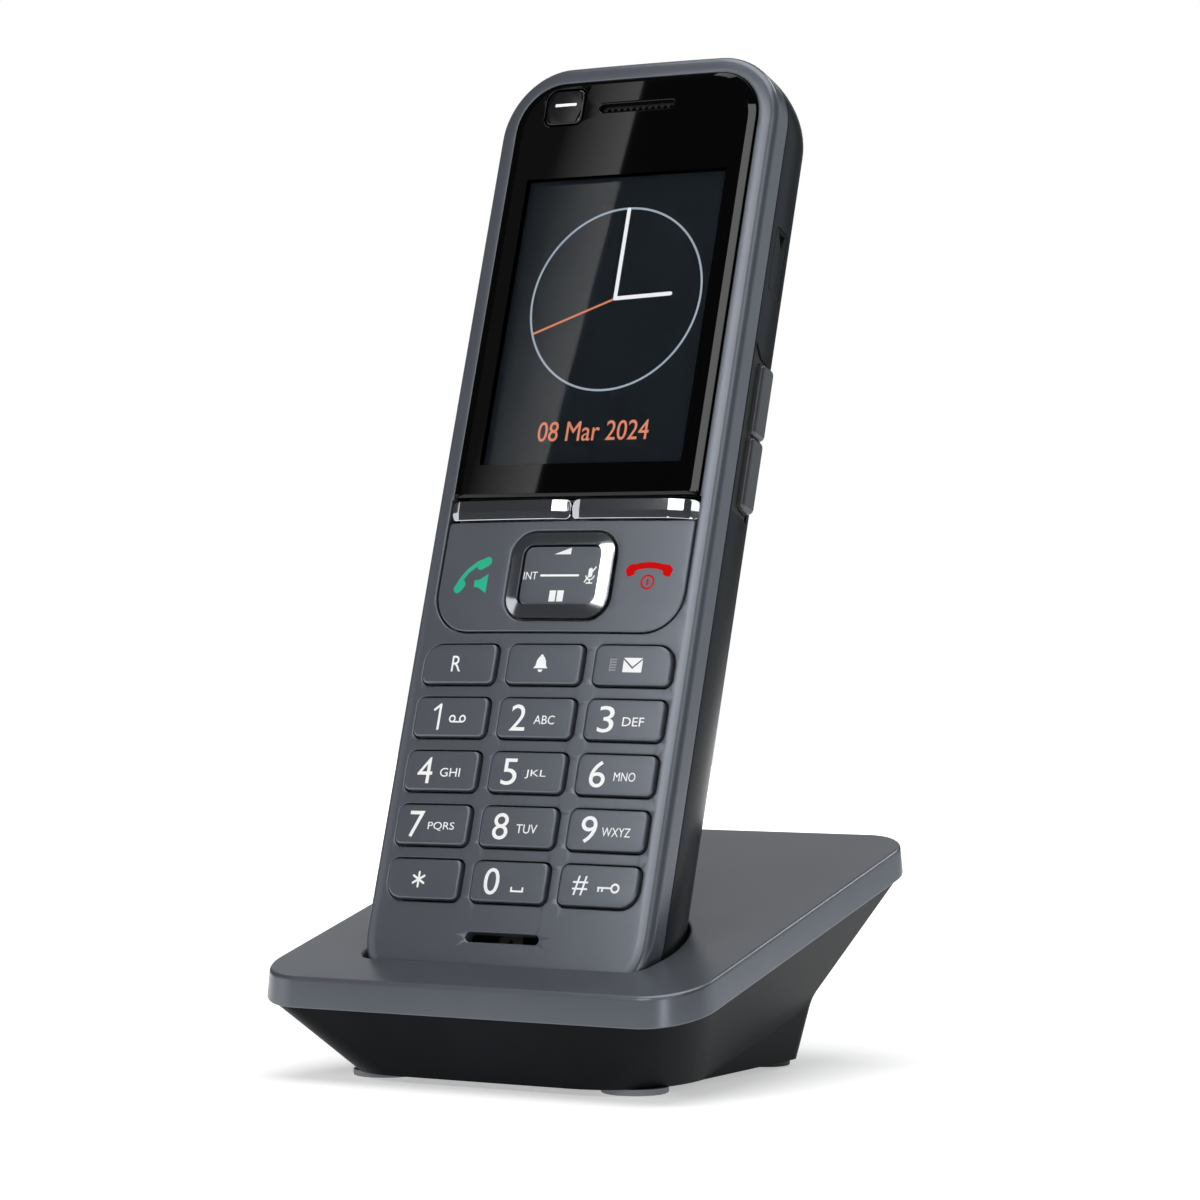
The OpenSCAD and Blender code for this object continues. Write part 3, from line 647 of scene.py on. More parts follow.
def front_housing():
    shape = Shape()
    seam = [(out, -SEAM + up) for out, up in SEAM_ROUND]
    side_wall = [(-WALL, -SEAM)] + seam + [(0, -3.4)] + sloped_round(EDGE_R, RIM_SLOPE, RIM_REACH)
    shape.rings(handset_outline, side_wall, front_side)
    holes = [combined_opening(), mic_outline] + [grow(key_outline(i), KEY_GAP) for i in range(15)]
    rounds = [0.2, 0.25] + [0.22] * 15
    for hole, r in zip(holes, rounds):
        shape.rings(hole, hole_round(r, -FACE_T), front_side)
    shape.sheet(grow(handset_outline, -RIM_REACH), [grow(h, r) for h, r in zip(holes, rounds)],
                0, front_side)
    shape.sheet(grow(handset_outline, -WALL), holes, -FACE_T, front_side, spacing=5)
    shape.rings(handset_outline, [(-WALL, -FACE_T), (-WALL, -SEAM)], front_side)
    piece("front_shell", shape, [anthracite], "handset", replaces=["front_housing"])


def rear_housing():
    shape = Shape()
    turns = [math.radians(a) for a in range(4, 61, 4)]
    depth = HANDSET_T - SEAM
    curve = [(-CORNER_R * (1 - math.cos(a)), -SEAM - depth * math.sin(a)) for a in turns]
    lip = -SEAM - 0.02
    seam = [(out, lip - 0.08 - up) for out, up in SEAM_ROUND]
    outer = [(-WALL, lip), (-SEAM_LIP, lip), (-SEAM_LIP, lip - 0.08)] + seam + curve
    shape.rings(handset_outline, outer)
    last_out = curve[-1][0]
    cover_hole = grow(cover_outline, 0.22)
    shape.sheet(grow(handset_outline, last_out), [grow(h, 0.2) for h in [cover_hole] + ringer_slots],
                0, back, spacing=1.6)
    # battery tray and bay behind the cover
    edge = shape.rings(cover_hole, hole_round(0.2, -0.4), back)
    tray = shape.rings(cover_hole, [(0, TRAY_OUT)])
    shape.bridge(edge[-1], tray[0])
    screws = [circle(1.9, (x, v)) for x in (-SCREW_X, SCREW_X) for v in SCREW_V]
    shape.sheet(cover_hole, [bay_outline] + screws, TRAY_OUT, spacing=None)
    shape.rings(bay_outline, [(0, TRAY_OUT), (0, BAY_FLOOR)])
    shape.sheet(bay_outline, up=BAY_FLOOR, spacing=None)
    for screw in screws:
        shape.rings(screw, [(0, TRAY_OUT), (0, TRAY_IN)])
    # inner skin
    inner = [(-WALL, -SEAM - 2)] + [(out - WALL * math.cos(a), z + WALL * math.sin(a))
                                    for (out, z), a in zip(curve, turns)]
    made = shape.rings(handset_outline, [(-WALL, lip)] + inner)
    for slot in ringer_slots:
        top = shape.rings(slot, hole_round(0.2, -0.5), back)
        bottom = shape.rings(slot, [(0, -HANDSET_T + WALL)])
        shape.bridge(top[-1], bottom[0])
    tray_rim = grow(cover_outline, BAY_WALL)
    bay_rim = grow(bay_outline, BAY_WALL)

    flat_edge = grow(handset_outline, last_out - 2.0)
    flat_ring = shape.ring(np.column_stack([flat_edge, np.full(len(flat_edge), -HANDSET_T + WALL)]))
    shape.bridge(made[-1], flat_ring)
    shape.sheet(flat_edge, [tray_rim] + ringer_slots, -HANDSET_T + WALL, spacing=None)
    shape.rings(tray_rim, [(0, -HANDSET_T + WALL), (0, TRAY_IN)])
    shape.sheet(tray_rim, [bay_rim] + screws, TRAY_IN, spacing=None)
    shape.rings(bay_rim, [(0, TRAY_IN), (0, BAY_FLOOR + BAY_WALL)])
    shape.sheet(bay_rim, up=BAY_FLOOR + BAY_WALL, spacing=None)

    cutters = [cutter(block(volume_recess(), -7, 2), side_frame(VOLUME_MID, VOLUME_DEPTH)),
               cutter(block(flap_outline(0.12), -7, 2), side_frame(FLAP_MID, FLAP_DEPTH))]
    cutters += contact_cutters(CONTACT_R, -5)
    piece("rear_shell", shape, [dark_grey], "handset", replaces=["rear_housing"],
          cuts=cutters, merge=0.015)
    drop_cutters(cutters)


VOLUME_MID = (VOLUME_LOW + VOLUME_HIGH) / 2
VOLUME_L = VOLUME_HIGH - VOLUME_LOW
FLAP_MID = (FLAP_LOW + FLAP_HIGH) / 2
FLAP_L = FLAP_HIGH - FLAP_LOW


def volume_recess(d=0.0):
    """The recess beside the volume key: its front end reaches the seam, with a slanted upper corner."""
    low, high = -VOLUME_L / 2 - 0.9, VOLUME_L / 2 + 0.7
    rear, front = -VOLUME_H / 2 - 0.6, VOLUME_DEPTH - SEAM - 0.45
    points = [(low, rear), (high, rear), (high, VOLUME_H / 2 - 0.4), (high + 2.1, front), (low, front)]
    return dense(grow(np.array(points), -d), 2.0)


def flap_outline(d=0.0):
    return rounded(FLAP_L + 2 * d, FLAP_H + 2 * d, [0.8 + d] * 4, steps=5)


def battery_cover():
    shape = Shape()
    inner = shape.rings(cover_outline, [(0, TRAY_OUT - 0.15)])
    edge = shape.rings(cover_outline, edge_round(0.25, 0, steps=3), back)
    shape.bridge(inner[0], edge[0])
    grips = [rounded(13 - abs(i) * 1.5, 0.9, [0.44] * 4, (0, 88 + 2.2 * i), steps=5)
             for i in range(-2, 3)]
    shape.sheet(grow(cover_outline, -0.25), [grow(g, 0.15) for g in grips], 0, back, spacing=1.6)
    for grip in grips:
        shape.rings(grip, hole_round(0.15, -0.45), back)
        shape.sheet(grip, up=-0.45, place=back, spacing=None)
    shape.sheet(cover_outline, up=TRAY_OUT - 0.15, spacing=None)
    piece("battery_door", shape, [dark_grey], "battery_cover",
          replaces=["battery_cover"])


# ---------- side controls ----------


def headset_flap():
    shape = Shape()
    outline = flap_outline(-0.02)
    surface = side(FLAP_DEPTH)
    shape.rings(outline, [(0, -1.2)] + edge_round(0.12, -0.03, steps=2), surface)
    end = FLAP_L / 2
    notch = dense(np.array([(end - 3.2, -0.1), (end - 0.35, -1.2), (end - 0.35, 2.2)]), 1.0)
    shape.rings(notch, [(0, -0.03), (0, -1.05)], surface, mark=1)
    shape.sheet(notch, up=-1.05, place=surface, spacing=None, mark=1)
    shape.sheet(grow(outline, -0.12), [notch], -0.03, surface, spacing=0.9)
    shape.sheet(outline, up=-1.2, place=surface, spacing=0.9)
    piece("headset_flap_cover", shape, [dark_grey, black_rubber], "headset_flap",
          side_frame(FLAP_MID, FLAP_DEPTH), ["headset_flap"])


def volume_bezel():
    shape = Shape()
    surface = side(VOLUME_DEPTH)
    outline = volume_recess(0.08)
    opening = rounded(VOLUME_L + 0.2, VOLUME_H + 0.2, [0.8] * 4, steps=5)
    low, top = -1.9, -0.3
    for wall in (outline, opening):
        shape.rings(wall, [(0, low), (0, top)], surface)
    for up in (low, top):
        shape.sheet(outline, [opening], up, surface, spacing=0.9)
    piece("volume_bezel_trim", shape, [black_rubber], "handset",
          side_frame(VOLUME_MID, VOLUME_DEPTH), ["volume_bezel"])


def volume_key():
    shape = Shape()
    base = rounded(VOLUME_L - 0.26, VOLUME_H - 0.06, [0.7] * 4, steps=5)
    low, waist, top, edge_r = -1.6, -0.35, 0.55, 0.8
    shape.rings(base, [(0, low), (0, waist)])
    shape.sheet(base, up=low, spacing=None)
    half = (VOLUME_L - 0.3) / 2 - 0.12
    halves = [rounded(half, VOLUME_H - 0.1, radii, (-sign * (half / 2 + 0.12), 0), steps=5)
              for sign, radii in ((1, [0.9, 0.85, 0.85, 0.9]), (-1, [0.85, 0.9, 0.9, 0.85]))]
    shape.sheet(base, halves, waist, spacing=None)
    for outline in halves:
        shape.rings(outline, [(0, waist)] + edge_round(edge_r, top, 0.6, steps=5))
        shape.sheet(grow(outline, -edge_r), up=top, spacing=None)
    piece("volume_rocker", shape, [volume_black], "volume_key",
          side_frame(VOLUME_MID, VOLUME_DEPTH), ["volume_key"])


# ---------- window and display ----------


def window():
    """The flat lens with its bevelled border: clear over the picture, gloss black around it."""
    shape = Shape()
    bevel = [(0, -WINDOW_T), (0, -0.26), (-0.03, -0.19), (-0.1, -0.16)]
    border = shape.rings(window_outline, bevel, mark=1)
    middle = np.array([0, (WINDOW_LOW + WINDOW_HIGH) / 2])
    size = np.array([WINDOW_W, WINDOW_HIGH - WINDOW_LOW])
    flat_edge, inside_edge = [middle + (window_outline - middle) * (1 - 2 * np.array(by) / size)
                              for by in ((1.3, 0.52), (1.33, 0.54))]
    flat_ring = shape.ring(np.column_stack([flat_edge, np.zeros(len(flat_edge))]))
    shape.bridge(border[-1], flat_ring, mark=1)
    holes = [grow(message_outline, KEY_GAP), ear_outline]
    rounds = [0.12, 0.25]
    for hole, r in zip(holes, rounds):
        shape.rings(hole, hole_round(r, -WINDOW_T, steps=4), mark=1)
    picture = rounded(PICTURE_W, PICTURE_H, [0.2] * 4, (0, PICTURE_MID), steps=2)

    def printed(x, y):
        return int(abs(x) > PICTURE_W / 2 or abs(y - PICTURE_MID) > PICTURE_H / 2)

    rims = [grow(h, r) for h, r in zip(holes, rounds)]
    flats = [grow(rims[1], 0.08), inside_edge]
    shape.sheet(flat_edge, rims, 0, spacing=None, mark=printed, lines=[picture] + flats)
    shape.sheet(window_outline, holes, -WINDOW_T, spacing=None, mark=printed, lines=[picture])
    piece("window_lens", shape, [glass, window_black], "handset",
          replaces=["display_window"])


CLOCK = (1.0, 115.1)
CLOCK_R = 15.6
LCD_TOP = -1.5


def display_picture():
    """A clock face and a date, lit."""
    def lit(x, y, up):
        return LCD_TOP + 0.05 + up + 0 * x

    def hand(angle, length, width):
        x, y = polar(length, angle)
        return stroke([CLOCK, (CLOCK[0] + x, CLOCK[1] + y)], width)

    ring = union_faces([circle(CLOCK_R, CLOCK, 96)], [circle(CLOCK_R - 0.32, CLOCK, 96)])
    hands = union_faces([hand(2.5, 10.0, 0.64), hand(90, 15.2, 0.64)])
    second = union_faces([hand(201, 15.2, 0.32)])
    date = text_faces("08 Mar 2024", 3.3, 20.2, (0.8, 92.9))
    print_on("clock_ring", [ring], [lit_ring], "handset", lit)
    print_on("clock_second_hand", [second], [lit_orange], "handset",
             lambda x, y, up: lit(x, y, up) + 0.06)
    print_on("clock_hands", [hands], [lit_white], "handset", lambda x, y, up: lit(x, y, up) + 0.12)
    print_on("clock_date", [date], [lit_orange], "handset", lit)


def message_key():
    shape = Shape()
    edge_r = 0.25
    foot = [(FLANGE, KEY_FOOT), (FLANGE, MESSAGE_FOOT_TOP), (0, MESSAGE_FOOT_TOP)]
    shape.rings(message_outline, foot + edge_round(edge_r, MESSAGE_RISE, steps=3))
    shape.sheet(grow(message_outline, -edge_r), up=MESSAGE_RISE, spacing=None)
    shape.sheet(grow(message_outline, FLANGE), up=KEY_FOOT, spacing=None)
    piece("message_key_cap", shape, [gloss_black], "message_key", replaces=["message_key"])
    bar = union_faces([rounded(4.0, 0.5, [0.12] * 4, (-13.3, 148.8), steps=2)])
    print_on("message_key_print", [bar], [print_white], "message_key",
             lambda x, y, up: level(x, y, up + MESSAGE_RISE))


# ---------- call keys, navigation key, display keys ----------


def soft_keys():
    """Two chromed keys under the window: a long facet, a lower facet and facets at the ends."""
    w = PANEL_W / 2 - 0.15
    fold = SOFT_LOW + 1.25
    for name, sign in (("left", -1), ("right", 1)):
        middle = sign * (w / 2 + 0.15)
        ends = (middle - w / 2, middle + w / 2)
        turn = ends[1] - (3.2 if sign < 0 else 4.9)
        last = ends[1] - (0.7 if sign < 0 else 2.4)
        tip = ends[1] - (0.3 if sign < 0 else 1.3)

        def facets(x, y, up):
            low = np.clip(fold - y, 0, None) * 0.3 - np.clip(y - fold, 0, None) * 0.07
            right = np.clip(x - turn, 0, None) * 0.13 + np.clip(x - last, 0, None) * 0.12
            right = right + np.clip(x - tip, 0, None) * 0.2
            left = np.clip(ends[0] + 1.5 - x, 0, None) * 0.35
            return crowned(x, y, up) - low - right - left if up > SOFT_FOOT_TOP else level(x, y, up)

        shape = Shape()
        outline = rounded(w, SOFT_H, [0.9] * 4, (middle, SOFT_LOW + SOFT_H / 2), steps=8, step=0.6)
        foot = [(-0.3, KEY_FOOT), (0, SOFT_FOOT_TOP)]
        shape.rings(outline, foot + edge_round(0.1, SOFT_RISE, steps=3), facets)
        mid_h, low_h = SOFT_HIGH - 0.13 - fold, fold - SOFT_LOW - 0.25
        long_w, long_mid = turn - ends[0] - 1.6, (turn + ends[0] + 1.5) / 2
        folds = [(last - turn, mid_h, ((last + turn) / 2, fold + mid_h / 2)),
                 (long_w, mid_h, (long_mid, fold + mid_h / 2)),
                 (long_w, low_h, (long_mid, fold - low_h / 2 - 0.03))]
        mark = [rounded(fold_w, fold_h, [0.05] * 4, centre, steps=1) for fold_w, fold_h, centre in folds]
        shape.sheet(grow(outline, -0.1), up=SOFT_RISE, place=facets, spacing=0.45, lines=mark)
        shape.sheet(grow(outline, -0.3), up=KEY_FOOT, spacing=None)
        piece(f"display_key_{name}", shape, [chrome_dark], f"soft_key_{name}",
              replaces=[f"soft_key_{name}"], sharp=5)


def call_key_plate():
    shape = Shape()
    opening = grow(nav_outline, NAV_GAP)
    shape.rings(panel_outline, [(0, PLATE_FOOT)] + edge_round(PLATE_EDGE_R, 0, steps=4), crowned)
    shape.rings(opening, hole_round(NAV_EDGE_R, PLATE_FOOT), crowned)
    shape.sheet(grow(panel_outline, -PLATE_EDGE_R), [grow(opening, NAV_EDGE_R)], 0, crowned)
    shape.sheet(panel_outline, [opening], PLATE_FOOT, crowned)
    piece("call_plate", shape, [anthracite], "call_key_plate",
          replaces=["call_key_plate"])

    handset_icon = stroke([(-13.8, 70.9), (-15.6, 70.6), (-17.3, 69.3), (-18.3, 67.9), (-18.75, 66.5)], 1,
                          taper=[1.5, 0.8, 0.72, 0.8, 1.4])
    ear = stroke([(-13.75, 70.95), (-14.9, 70.3)], 1.5)
    mouth = stroke([(-18.7, 66.5), (-18.1, 67.2)], 1.5)
    speaker = [(-15.7, 66.7), (-14.9, 66.7), (-13.3, 65.7), (-13.3, 68.9), (-14.9, 67.9), (-15.7, 67.9)]
    talk = union_faces([handset_icon, ear, mouth, speaker])
    print_on("talk_print", [talk], [print_green], "call_key_plate", crowned)
    span = arc((15.65, 61.8), 8.4, 112, 68, 14)
    thick = [1.5, 1.25] + [1.0] * 10 + [1.25, 1.5]
    ends = [moved(rounded(1.45, 1.55, [0.4] * 4, steps=4), p, turn) for p, turn in
            (((12.4, 69.2), 20), ((18.9, 69.2), -20))]
    dial = (15.65, 67.5)
    bar = rounded(0.3, 1.1, [0.1] * 4, dial, steps=3)
    ring = union_faces([circle(1.2, dial, 32)], [circle(0.92, dial, 32)])
    print_on("end_print", [union_faces([stroke(span, 1, taper=thick)] + ends), ring, union_faces([bar])],
             [print_red], "call_key_plate", crowned)


def navigation_key():
    ring = Shape()
    over = [(0, -1.5), (0, 0.14), (-0.95, 0.38), (-2.05, 0.54), (-2.05, -1.5)]
    made = ring.rings(nav_outline, over, crowned)
    ring.bridge(made[-1], made[0])
    piece("nav_ring_trim", ring, [chrome], "nav_key", replaces=["nav_ring"], sharp=12)
    pad = Shape()
    outline = grow(nav_outline, -2.2)
    foot = grow(nav_outline, -0.5)
    pad.rings(outline, [(0, -1.55)] + edge_round(0.25, PAD_UP, steps=3), crowned)
    pad.rings(foot, [(0, -2.2), (0, -1.55)], crowned)
    pad.sheet(foot, [outline], -1.55, crowned)
    pad.sheet(foot, up=-2.2, place=crowned)
    pad.sheet(grow(outline, -0.25), up=PAD_UP, place=crowned)
    piece("nav_pad_cap", pad, [anthracite], "nav_key", replaces=["nav_pad"])

    wedge = [(-1.7, 72.0), (1.3, 72.0), (1.3, 73.1)]
    middle = stroke([(-3.5, NAV_MID), (3.2, NAV_MID)], 0.34)
    book_left = [(-1.45, 64.3), (-0.3, 64.3), (-0.3, 66.1), (-1.45, 66.1)]
    book_right = [(-0.05, 64.3), (1.1, 64.3), (1.1, 66.1), (-0.05, 66.1)]
    mic = [stroke([(5.35, 68.6), (5.35, 69.4)], 0.75), stroke(arc((5.35, 68.6), 0.75, 190, 350, 9), 0.2),
           stroke([(5.35, 67.85), (5.35, 67.35)], 0.2), stroke([(4.85, 67.3), (5.85, 67.3)], 0.2)]
    slash = stroke([(4.5, 67.5), (6.2, 69.9)], 0.22)
    prints = [union_faces([p]) for p in [wedge, middle, book_left, book_right, slash]]
    prints += [union_faces(mic), text_faces("INT", 1.25, 2.5, (-5.45, NAV_MID))]
    print_on("nav_prints", prints, [print_white], "nav_key", lambda x, y, up: crowned(x, y, up + PAD_UP))


# ---------- keypad ----------

KEYS = ["key_recall", "key_profile", "key_messages", "key_1", "key_2", "key_3", "key_4", "key_5", "key_6",
        "key_7", "key_8", "key_9", "key_star", "key_0", "key_hash"]
LETTERS = {"key_2": "ABC", "key_3": "DEF", "key_4": "GHI", "key_5": "JKL", "key_6": "MNO",
           "key_7": "PQRS", "key_8": "TUV", "key_9": "WXYZ"}


def bell():
    half = [(-1.3, -0.75), (-0.95, -0.35), (-0.8, 0.5), (-0.45, 1.1)]
    body = half + [(-x, y) for x, y in reversed(half)]
    clapper = arc((0, -0.95), 0.42, 180, 360, 9)
    return [union_faces([body, circle(0.28, (0, 1.2), 14)]), union_faces([clapper])]


def envelope():
    w, h = 1.65, 1.15
    flap = [(-w, h), (0, -0.25), (w, h)]
    body = [(-w, -h), (w, -h), (w, h - 0.32), (0, -0.62), (-w, h - 0.32)]
    return [union_faces([flap]), union_faces([body])]


def list_mark():
    bars = [rounded(1.15, 0.22, [0.05] * 4, (0, k * 0.42), steps=2) for k in range(-2, 3)]
    bars.append(rounded(0.2, 2.1, [0.05] * 4, (-0.5, 0), steps=2))
    return [union_faces([b]) for b in bars]


def voicemail():
    rings = [union_faces([circle(0.62, (x, 0), 20)], [circle(0.36, (x, 0), 20)]) for x in (-0.95, 0.95)]
    return rings + [union_faces([[(-0.95, -0.62), (0.95, -0.62), (0.95, -0.38), (-0.95, -0.38)]])]


def space_mark():
    outside = [(-1.15, 0.45), (-1.15, -0.35), (1.15, -0.35), (1.15, 0.45)]
    return [union_faces([outside + [(0.85, 0.45), (0.85, -0.07), (-0.85, -0.07), (-0.85, 0.45)]])]


def key_mark():
    bow = union_faces([circle(0.78, (1.1, 0), 20)], [circle(0.45, (1.1, 0), 20)])
    blade = union_faces([[(-1.9, -0.14), (0.36, -0.14), (0.36, 0.14), (-1.9, 0.14)]])
    teeth = [union_faces([[(x, -0.14), (x, -0.62), (x + 0.3, -0.62), (x + 0.3, -0.14)]])
             for x in (-1.85, -1.2)]
    return [bow, blade] + teeth


def star():
    tips = [polar(1.15, degrees) for degrees in (90, 30, 150)]
    return [union_faces([stroke([(-x, -y), (x, y)], 0.36, steps=3) for x, y in tips])]


def at(groups, centre):
    return [(flat + np.array(centre), faces) for flat, faces in groups]


def key_prints(name, centre):
    """The white legends of one key, and the grey ones."""
    x, v = centre
    if name == "key_recall":
        return [text_faces("R", 2.55, 1.75, (x - 0.5, v))], []
    if name == "key_profile":
        return at(bell(), (x - 0.5, v + 0.05)), []
    if name == "key_messages":
        return at(envelope(), (x + 0.1, v)), at(list_mark(), (x - 3.3, v))
    if name == "key_star":
        return at(star(), (x - 0.8, v - 0.1)), []
    if name == "key_hash":
        return [text_faces("#", 3.0, 2.6, (x - 3.0, v - 0.05))] + at(key_mark(), (x + 1.9, v - 0.25)), []
    digit = name[-1]
    shift = {"1": -2.5}.get(digit, -3.0)
    if digit == "1":
        stem, flag = [(x + shift + 0.45, v - 1.95), (x + shift + 0.45, v + 1.95)], (x + shift - 0.6, v + 1.15)
        white = [union_faces([stroke(stem, 0.42, 3), stroke([flag, stem[1]], 0.4, 3)])]
    else:
        white = [text_faces(digit, 4.2, 2.75, (x + shift, v))]
    if name in LETTERS:
        white.append(text_faces(LETTERS[name], 1.4, 1.2 * len(LETTERS[name]) + 0.1, (x + 1.7, v - 0.3)))
    elif digit == "1":
        white += at(voicemail(), (x + 1.4, v - 0.3))
    else:
        white += at(space_mark(), (x + 1.7, v - 1.2))
    return white, []


def keypad():
    for i, name in enumerate(KEYS):
        shape = Shape()
        outline = key_outline(i)
        foot = [(FLANGE, KEY_FOOT), (FLANGE, FOOT_TOP), (0, FOOT_TOP)]
        shape.rings(outline, foot + edge_round(KEY_EDGE_R, KEY_RISE, KEY_EDGE_DROP, steps=4), footed)
        shape.sheet(grow(outline, -KEY_EDGE_R), up=KEY_RISE, place=crowned, spacing=2.2)
        shape.sheet(grow(outline, FLANGE), up=KEY_FOOT, spacing=None)
        if name == "key_5":
            x, v = key_centre(i)
            bump = circle(0.36, (x - 0.55, v - 0.1), 16)
            base, top = KEY_RISE - 0.05, KEY_RISE + 0.17
            shape.rings(bump, [(0, base), (0, KEY_RISE + 0.06), (-0.12, top)], crowned)
            shape.sheet(bump, up=base, place=crowned, spacing=None)
            shape.sheet(grow(bump, -0.12), up=top, place=crowned, spacing=None)
        piece(f"{name}_cap", shape, [anthracite], name, replaces=[name])
        white, grey = key_prints(name, key_centre(i))
        groups = [(*g, 0) for g in white] + [(*g, 1) for g in grey]
        print_on(f"{name}_print", groups, [print_white, print_grey], name,
                 lambda x, y, up: crowned(x, y, up + KEY_RISE))


# ---------- cradle ----------

# Outlines: half width, front, rear, radius of the front and of the rear corners
WAIST_LEVEL = 4.4
WAIST = (27.5, -30.5, 26.5, 18.0, 5.0)
BOTTOM = (27.0, -30.0, 21.2, 15.0, 5.0)
FRONT_FOOT, REAR_FOOT = (22.2, -24.6, 5.1), (22.4, 16.4, 3.9)
POST = (13.5, 14.0)
POWER_Y, POWER_Z, POWER_R = 23.6, 6.4, 4.2
# Points on the pocket's rim closer than this are made one, always in the mesh's own order
RIM_MERGE = 0.12


def box_outline(half, front, rear, front_r, rear_r, d=0.0, steps=14):
    """An outline given as half width, front, rear and corner radii, moved in by d."""
    radii = [front_r - d] * 2 + [rear_r - d] * 2
    return rounded(2 * (half - d), rear - front - 2 * d, radii, (0, (front + rear) / 2), steps, step=1000)


def loop_outline(edges):
    """The vertices of a closed loop of edges, counterclockwise, as an outline."""
    near = {}
    for e in edges:
        for v in e.verts:
            near.setdefault(v, []).append(e.other_vert(v))
    start = next(iter(near))
    loop, last = [start], None
    while True:
        step = next(v for v in near[loop[-1]] if v is not last)
        if step is start:
            break
        last = loop[-1]
        loop.append(step)
    outline = np.array([v.co[:2] for v in loop])
    area = (outline[:, 0] * np.roll(outline[:, 1], -1) - np.roll(outline[:, 0], -1) * outline[:, 1]).sum()
    return outline if area > 0 else outline[::-1]


def pocket_shell(g, lowered):
    """The handset's outer shape grown by g, kept below the cradle's top lowered by some way.
    Gives its mesh, in the cradle's frame, and the outline of its mouth."""
    shape = Shape()
    depth = HANDSET_T - SEAM
    front = [(-EDGE_R + x, -EDGE_R + z) for x, z in (polar(EDGE_R + g, a) for a in range(90, -1, -15))]
    rear = [(-CORNER_R + polar(CORNER_R + g, a)[0], -SEAM - polar(depth + g, a)[1]) for a in range(0, 86, 5)]
    made = shape.rings(handset_outline, front + rear)
    for ends, up in ((made[0], g), (made[-1], shape.verts[made[-1][0]][2])):
        shape.sheet(np.array([shape.verts[i][:2] for i in ends]), up=up, spacing=None)
    bm = shape.bmesh()
    to_cradle = Matrix.Scale(1 / MM, 4) @ HANDSET @ Matrix.Scale(MM, 4)
    bmesh.ops.transform(bm, matrix=to_cradle, verts=bm.verts)
    up = Vector((0, -SLOPE, 1)).normalized()
    plane = Vector((0, 0, CRADLE_MID_H - lowered))
    cut = bmesh.ops.bisect_plane(bm, geom=bm.verts[:] + bm.edges[:] + bm.faces[:], dist=1e-5,
                                 plane_co=plane, plane_no=up, clear_outer=True)
    rim = [e for e in cut["geom_cut"] if isinstance(e, bmesh.types.BMEdge)]
    on_rim = {v for e in rim for v in e.verts}
    bmesh.ops.remove_doubles(bm, verts=[v for v in bm.verts if v in on_rim], dist=RIM_MERGE)
    return bm, loop_outline([e for e in bm.edges if len(e.link_faces) == 1])


def cradle_top():
    shape = Shape()
    mouth_r, edge_r, draft = 0.55, 0.6, 0.35
    edge = [(-draft + out, up) for out, up in edge_round(edge_r, 0, steps=6)]
    rim = [(-0.25, -SKIRT_H), (-0.07, -SKIRT_H + 0.07), (0, -SKIRT_H + 0.25)]
    shape.rings(skirt_outline, [(-SKIRT_WALL, -SKIRT_H)] + rim + edge, tilted)
    inner, mouth = pocket_shell(POCKET_GAP, mouth_r)
    outer, socket = pocket_shell(POCKET_GAP + POCKET_WALL, PLATE_T)
    shape.rings(mouth, [(out, up) for out, up in hole_round(mouth_r, -mouth_r, steps=5)[:-1]], tilted)
    shape.sheet(grow(skirt_outline, -draft - edge_r), [grow(mouth, mouth_r)], 0, tilted, spacing=4)
    shape.take(inner)
    shape.take(outer)
    shape.sheet(grow(skirt_outline, -SKIRT_WALL), [socket], -PLATE_T, tilted, spacing=None)
    shape.rings(skirt_outline, [(-SKIRT_WALL, -SKIRT_H), (-SKIRT_WALL, -PLATE_T)], tilted)
    inner.free()
    outer.free()
    holes = contact_cutters(PIN_HOLE_R, -6)
    piece("cradle_plate", shape, [anthracite], "cradle", CRADLE, ["cradle_top"],
          cuts=holes)
    drop_cutters(holes)


def body_skin(d, floor):
    """The cradle body's skin moved in by d and cut off at the floor. Gives its mesh, the outline
    it has at the floor, and its upper edge."""
    shape = Shape()
    top = box_outline(CRADLE_W / 2 - BODY_INSET, -CRADLE_D / 2 + BODY_INSET, CRADLE_D / 2 - BODY_INSET,
                      CRADLE_R - BODY_INSET, CRADLE_R - BODY_INSET, d)
    waist, bottom = box_outline(*WAIST, d), box_outline(*BOTTOM, d)
    top_z = CRADLE_MID_H - SKIRT_H - 0.06 + SLOPE * top[:, 1]
    waist_z = WAIST_LEVEL + SLOPE * waist[:, 1]
    drop = np.minimum(waist_z - 0.5, -0.2)
    soft = 0.06
    corners = [np.column_stack(rim) for rim in ((top, top_z), (waist, waist_z), (bottom, drop))]
    above = corners[1] + (corners[0] - corners[1]) * soft
    below = corners[1] + (corners[2] - corners[1]) * 0.12
    middle = corners[1] * 0.5 + (above + below) * 0.25
    rows = [corners[0], above, middle, below, corners[2]]
    ids = [shape.ring(row) for row in rows]
    for a, b in zip(ids, ids[1:]):
        shape.bridge(a, b)
    bm = shape.bmesh()
    bmesh.ops.bisect_plane(bm, geom=bm.verts[:] + bm.edges[:] + bm.faces[:], dist=1e-5,
                           plane_co=(0, 0, floor), plane_no=(0, 0, -1), clear_outer=True)
    low = [e for e in bm.edges
           if len(e.link_faces) == 1 and all(abs(v.co.z - floor) < 1e-3 for v in e.verts)]
    return bm, loop_outline(low), corners[0]


